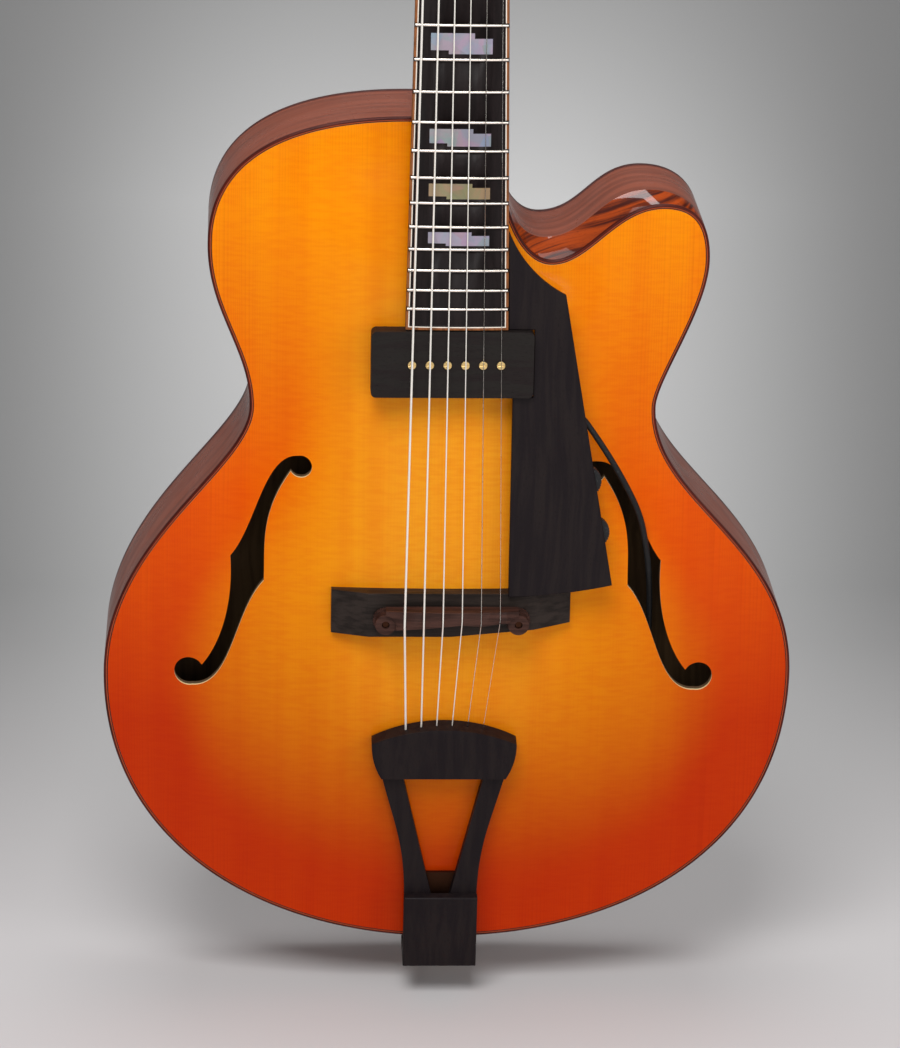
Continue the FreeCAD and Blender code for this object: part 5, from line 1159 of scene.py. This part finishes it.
class ARCHTOP_OT_strings(bpy.types.Operator):
    """Build the strings from the tailpiece over the saddle and the nut to their turns on the posts"""
    bl_idname = "archtop.strings"
    bl_label = "Strings"

    def execute(self, context):
        scene, made = context.scene, look()
        wound = scene.archtop_strings.wound
        for node, numbers, material in (("wound_strings", range(wound), made["Wound string"]),
                                        ("plain_strings", range(wound, 6), made["Plain string"])):
            strings = [self.string(scene, number) for number in numbers]
            for run, name in enumerate(("_played", "_behind")):
                tubes = [tube(node + name, *string[run][:3], 10) for string in strings]
                with context.temp_override(active_object=tubes[0], selected_editable_objects=tubes):
                    bpy.ops.object.join()
                tubes[0].data.materials.append(material)
                held, saddle = np.mean([string[run][3:] for string in strings], 0)
                self.follow_saddle(tubes[0], node, held, saddle)
        return {"FINISHED"}

    @staticmethod
    def follow_saddle(piece, node, held, saddle):
        """Bake a run of strings into place and hide the solid it stands for."""
        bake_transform(piece)
        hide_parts(node)

    def string(self, scene, number):
        """One string as two runs that meet on the saddle: over the nut to its turns, and to the tailpiece.

        Each run holds its path, side vectors, radius, the point where it is held and the saddle's point."""
        body, neck, s = scene.archtop_body, scene.archtop_neck, scene.archtop_strings
        to_part, head = neck_matrix(body, neck), head_matrix(body, neck)
        radius = s.diameters[number] / 2
        spread = number / 5 - 0.5
        x_nut, x_saddle, x_tail = spread * s.nut_spread, spread * s.saddle_spread, spread * s.tail_spread
        lift = s.touch + radius
        nut = to_part @ Vector((x_nut, camber(x_nut, neck.board_radius) - neck.nut_rise - lift,
                                joint_distance(neck) + 0.4 * MM))
        saddle = to_part @ Vector((x_saddle, camber(x_saddle, neck.board_radius) - s.saddle_rise - lift,
                                   joint_distance(neck) - neck.scale_length - s.setback[number]))
        crown = s.tail_shoulder + (s.tail_crown - s.tail_shoulder) * (1 - (x_tail / s.tail_half) ** 2)
        tail_frame = (Matrix.Translation((s.tail_shift, -body.rim_depth / 2 - s.tail_lift, 0))
                      @ Matrix.Rotation(s.tail_angle, 4, "X"))
        tail = tail_frame @ Vector((x_tail, -0.45 * s.tail_thickness, crown - 2 * MM))
        anchor = tail + (tail - saddle).normalized() * s.anchor

        side = -1 if number < 3 else 1
        post = (side * neck.post_half, neck.post_first + min(number, 5 - number) * neck.post_step)
        wrap = neck.post_radius + s.wrap_clearance + radius
        local = head.inverted() @ nut
        gap = (local.x - post[0], local.z - post[1])
        start = math.atan2(gap[1], gap[0]) - side * math.acos(wrap / math.hypot(*gap))
        turn = np.linspace(0, 2 * np.pi * s.wrap_turns, int(40 * s.wrap_turns) + 1)
        angles = start - side * turn
        pitch = 2 * radius + s.wrap_gap
        helix = np.stack([post[0] + wrap * np.cos(angles),
                          -neck.head_face - s.wrap_height + pitch * turn / (2 * np.pi),
                          post[1] + wrap * np.sin(angles)], 1)
        radial = np.stack([np.cos(angles), np.zeros_like(angles), np.sin(angles)], 1)
        turned = np.array(head.to_3x3())
        over_saddle = self.bend(anchor, saddle, nut, 2.2 * MM)
        over_nut = self.bend(saddle, nut, Vector(moved(helix[:1], head)[0]), 1.2 * MM)
        middle = len(over_saddle) // 2
        straight = np.concatenate([over_saddle[middle:], over_nut])
        behind = np.concatenate([[anchor], over_saddle[:middle + 1]])
        first_radial = turned @ radial[0]
        played = np.concatenate([straight, moved(helix, head)])
        played_sides = np.concatenate([np.tile(first_radial, (len(straight), 1)), radial @ turned.T])
        behind_sides = np.tile(first_radial, (len(behind), 1))
        return (played, played_sides, radius, nut, saddle), (behind, behind_sides, radius, tail, saddle)

    @staticmethod
    def bend(before, corner, after, reach):
        """Quadratic curve that rounds a corner between two points a reach away from it."""
        start = np.array(corner + (before - corner).normalized() * reach)
        end = np.array(corner + (after - corner).normalized() * reach)
        t = np.linspace(0, 1, 7)[:, None]
        return (1 - t) ** 2 * start + 2 * t * (1 - t) * np.array(corner) + t * t * end


class ARCHTOP_OT_bridge(Dressing, bpy.types.Operator):
    """Finish the bridge base, saddle, studs and thumbwheels"""
    bl_idname = "archtop.bridge"
    bl_label = "Bridge"

    rows = (("Bridge base", 1.0, "bridge_base"), ("Saddle rosewood", 0.6, "bridge_saddle"),
            ("Dark bronze", 0.2, "bridge_studs"),
            ("Saddle rosewood", 0.2, "bass_thumbwheel", "treble_thumbwheel"))


class ARCHTOP_OT_tailpiece(Dressing, bpy.types.Operator):
    """Finish the tailpiece, its cover and the bracket over the tail"""
    bl_idname = "archtop.tailpiece"
    bl_label = "Tailpiece"

    rows = (("Ebony", 0.6, "tailpiece"), ("Ebony", 0.4, "tailpiece_cover"),
            ("Dark bronze", 0.3, "tailpiece_bracket"), ("Gold plate", 0.2, "bracket_screws"))


class ARCHTOP_OT_pickguard(Dressing, bpy.types.Operator):
    """Finish the pickguard, its standoff and the control wheels under it"""
    bl_idname = "archtop.pickguard"
    bl_label = "Pickguard"

    rows = (("Ebony", 0.5, "pickguard"), ("Ebony", 0.3, "guard_standoff"),
            ("Black plastic", 0.2, "volume_wheel", "tone_wheel", "controls"))


class ARCHTOP_OT_pickup(Dressing, bpy.types.Operator):
    """Finish the pickup cover, coil and pole screws"""
    bl_idname = "archtop.pickup"
    bl_label = "Pickup"

    rows = (("Charcoal cover", 0.8, "pickup_cover"), ("Black plastic", 0.2, "pickup_coil"),
            ("Gold plate", 0.15, "pole_screws"))


class ARCHTOP_OT_output(Dressing, bpy.types.Operator):
    """Build the output lead and finish the end jack and strap button"""
    bl_idname = "archtop.output"
    bl_label = "Output"

    # The lead's route in millimetres: x, lift above the rim and z outside, then x, y and z inside the body
    outside = ((67.4, 17.2, 294.2), (48.5, 17.6, 297.5), (37.5, 17.6, 316.0), (47.0, 17.4, 337.0),
               (69.0, 17.2, 338.5), (83.0, 17.0, 319.0), (96.7, 15.4, 296.8), (108.8, 12.0, 272.5),
               (113.2, 7.6, 252.0), (116.3, 0.5, 232.0), (118.2, -8.5, 207.0), (118.5, -14.0, 184.0))
    within = ((112.0, -15.5, 156.0), (90.0, -10.5, 120.0), (60.0, -6.5, 94.0), (32.0, -3.0, 82.0),
              (11.0, -0.7, 74.0), (2.0, -0.1, 60.0), (0.0, 0.0, 48.0), (0.0, 0.0, 36.3))
    diameter = 3.5
    rows = (("Gold plate", 0.3, "end_jack"), ("Bare steel", 0.3, "jack_nut"),
            ("Gold plate", 0.3, "heel_button"))

    def execute(self, context):
        half = context.scene.archtop_body.rim_depth / 2
        line = bpy.data.curves.new("output_lead_jacket", "CURVE")
        line.dimensions = "3D"
        spline = line.splines.new("NURBS")
        route = [(x, -half / MM - lift, z) for x, lift, z in self.outside] + list(self.within)
        spline.points.add(len(route) - 1)
        for point, (x, y, z) in zip(spline.points, route):
            point.co = (x * MM, y * MM, z * MM, 1)
        spline.order_u = 3
        spline.use_endpoint_u = True
        spline.resolution_u = 10
        line.bevel_depth = self.diameter / 2 * MM
        line.bevel_resolution = 4
        line.use_fill_caps = True
        line.materials.append(look()["Lead jacket"])
        stand_for(placed("output_lead_jacket", line), "output_lead")
        return super().execute(context)


class ARCHTOP_OT_insides(Dressing, bpy.types.Operator):
    """Finish the bare wood inside the body"""
    bl_idname = "archtop.insides"
    bl_label = "Insides"

    # The inner wood is darkened as painted shade for the inside of the body
    rows = (("Inner wood", 0, "linings", "neck_block", "tail_block", "tone_bars"),)


class ARCHTOP_OT_stage(bpy.types.Operator):
    """Set up the floor, backdrop, soft lights and camera"""
    bl_idname = "archtop.stage"
    bl_label = "Stage"

    def execute(self, context):
        stage = context.scene.archtop_stage
        self.sweep(stage)
        self.lights(context)
        self.camera(context, stage)
        context.scene.view_settings.view_transform = "Standard"
        return {"FINISHED"}

    @staticmethod
    def sweep(stage):
        """Floor that curves up into a wall, carried along x; clear when it is seen from behind."""
        level, bend_at, bend, reach = stage.floor_level, 0.55, 0.6, 4.0
        turn = np.linspace(0, np.pi / 2, 24)
        floor = np.stack([np.linspace(-reach, bend_at, 12)[:-1], np.full(11, level)], 1)
        curve = np.stack([bend_at + bend * np.sin(turn), level + bend * (1 - np.cos(turn))], 1)
        wall = np.stack([np.full(10, bend_at + bend), np.linspace(level + bend, reach, 11)[1:]], 1)
        profile = np.concatenate([floor, curve, wall])
        x = np.linspace(-reach, reach, 17)
        points = np.stack(np.broadcast_arrays(x[:, None], profile[None, :, 0], profile[None, :, 1]), -1)
        faces, _, _ = grid_faces(len(x), len(profile), False, False)
        obj = make_object("stage_sweep", points, faces.tolist())
        material = bpy.data.materials.new("Stage paper")
        material.use_nodes = True
        tree = material.node_tree
        shader = tree.nodes["Principled BSDF"]
        place = add(tree, "SeparateXYZ", Vector=add(tree, "TexCoord").outputs["Object"])
        along = math_node(tree, "ADD", place.outputs[1], place.outputs[2])
        along = add(tree, "MapRange", Value=along, From_Min=-0.3, From_Max=1.7).outputs[0]
        # Painted light: the slightly off-centre offset and the colours below lay a painted pool of light
        # behind the middle, with painted shade towards the sides and up the wall
        sideways = math_node(tree, "ABSOLUTE", math_node(tree, "SUBTRACT", place.outputs[0], 0.035))
        middle = ramp(tree, along, ((0.0, stage.floor), (0.30, stage.glow), (0.74, stage.glow),
                                    (0.92, stage.wall)))
        edges = ramp(tree, along, ((0.12, stage.floor), (0.46, stage.dim)))
        shade = blend(tree, between(tree, sideways, 0.06, 0.42), middle, edges)
        # Painted shade: far to the sides the paper darkens further
        shade = blend(tree, between(tree, sideways, 0.5, 1.2), shade, darker(stage.dim, 0.4))
        tree.links.new(shade, shader.inputs["Base Color"])
        behind = add(tree, "NewGeometry").outputs["Backfacing"]
        tree.links.new(math_node(tree, "SUBTRACT", 1.0, behind), shader.inputs["Alpha"])
        shader.inputs["Roughness"].default_value = 0.9
        shader.inputs["Specular IOR Level"].default_value = 0.1
        obj.data.materials.append(material)

    @staticmethod
    def lights(context):
        """Four softboxes and an even white surround."""
        # Places, aims and sizes in metres, power in watts
        for name, place, aim, size, power in (
                ("Key softbox", (-0.4, -1.5, 2.3), (0, 0, 0.25), (1.25, 1.25), 47.0),
                ("Front softbox", (0.5, -3.2, 0.9), (0, 0, 0.25), (2.0, 1.2), 23.0),
                ("Side softbox", (1.9, -1.6, 1.0), (0, 0, 0.3), (1.0, 1.2), 12.5),
                ("Overhead softbox", (0.0, 0.5, 2.5), (0, 0.5, 0), (1.8, 1.0), 20.0)):
            data = bpy.data.lights.new(name, "AREA")
            data.shape = "RECTANGLE"
            data.size, data.size_y = size
            data.energy = power
            lamp = placed(name, data)
            lamp.location = place
            lamp.rotation_euler = (Vector(aim) - Vector(place)).to_track_quat("-Z", "Y").to_euler()
        world = context.scene.world or bpy.data.worlds.new("World")
        context.scene.world = world
        world.use_nodes = True
        background = world.node_tree.nodes["Background"]
        background.inputs["Color"].default_value = (1, 1, 1, 1)
        background.inputs["Strength"].default_value = 0.23

    @staticmethod
    def camera(context, stage):
        """Camera turned by yaw and pitch, then rolled about its own axis."""
        pitch, yaw, roll = stage.camera_pitch, stage.camera_yaw, stage.camera_roll
        level = Vector((math.cos(yaw), -math.sin(yaw), 0))
        above = Vector((math.sin(yaw) * math.sin(pitch), math.cos(yaw) * math.sin(pitch), math.cos(pitch)))
        right = level * math.cos(roll) + above * math.sin(roll)
        up = above * math.cos(roll) - level * math.sin(roll)
        turn = Matrix((right, up, right.cross(up))).transposed().to_4x4()
        data = bpy.data.cameras.new("Camera")
        data.lens = stage.camera_lens
        data.sensor_width = 36
        camera = placed("Camera", data)
        camera.matrix_world = Matrix.Translation(stage.camera_place) @ turn
        context.scene.camera = camera


class ARCHTOP_PT_panel(bpy.types.Panel):
    """Buttons for each piece of the guitar"""
    bl_idname = "ARCHTOP_PT_panel"
    bl_label = "Archtop guitar"
    bl_space_type = "VIEW_3D"
    bl_region_type = "UI"
    bl_category = "Archtop"

    def draw(self, context):
        for operator in operators:
            self.layout.operator(operator.bl_idname)
        for name, group in groups.items():
            box = self.layout.box()
            for prop in group.__annotations__:
                box.prop(getattr(context.scene, name), prop)


groups = {"archtop_body": ArchtopBody, "archtop_neck": ArchtopNeck, "archtop_strings": ArchtopStrings,
          "archtop_finish": ArchtopFinish, "archtop_stage": ArchtopStage}
operators = (ARCHTOP_OT_plates, ARCHTOP_OT_rim, ARCHTOP_OT_neck, ARCHTOP_OT_fingerboard, ARCHTOP_OT_tuners,
             ARCHTOP_OT_strings, ARCHTOP_OT_bridge, ARCHTOP_OT_tailpiece, ARCHTOP_OT_pickguard,
             ARCHTOP_OT_pickup, ARCHTOP_OT_output, ARCHTOP_OT_insides, ARCHTOP_OT_stage)


def register():
    for cls in (*groups.values(), *operators, ARCHTOP_PT_panel):
        bpy.utils.register_class(cls)
    for name, group in groups.items():
        setattr(bpy.types.Scene, name, bpy.props.PointerProperty(type=group))


def unregister():
    for name in groups:
        delattr(bpy.types.Scene, name)
    for cls in (ARCHTOP_PT_panel, *reversed(operators), *reversed(groups.values())):
        bpy.utils.unregister_class(cls)


def main():
    register()
    bpy.ops.archtop.plates()
    bpy.ops.archtop.rim()
    bpy.ops.archtop.neck()
    bpy.ops.archtop.fingerboard()
    bpy.ops.archtop.tuners()
    bpy.ops.archtop.strings()
    bpy.ops.archtop.bridge()
    bpy.ops.archtop.tailpiece()
    bpy.ops.archtop.pickguard()
    bpy.ops.archtop.pickup()
    bpy.ops.archtop.output()
    bpy.ops.archtop.insides()
    bpy.ops.archtop.stage()


if __name__ == "__main__":
    main()
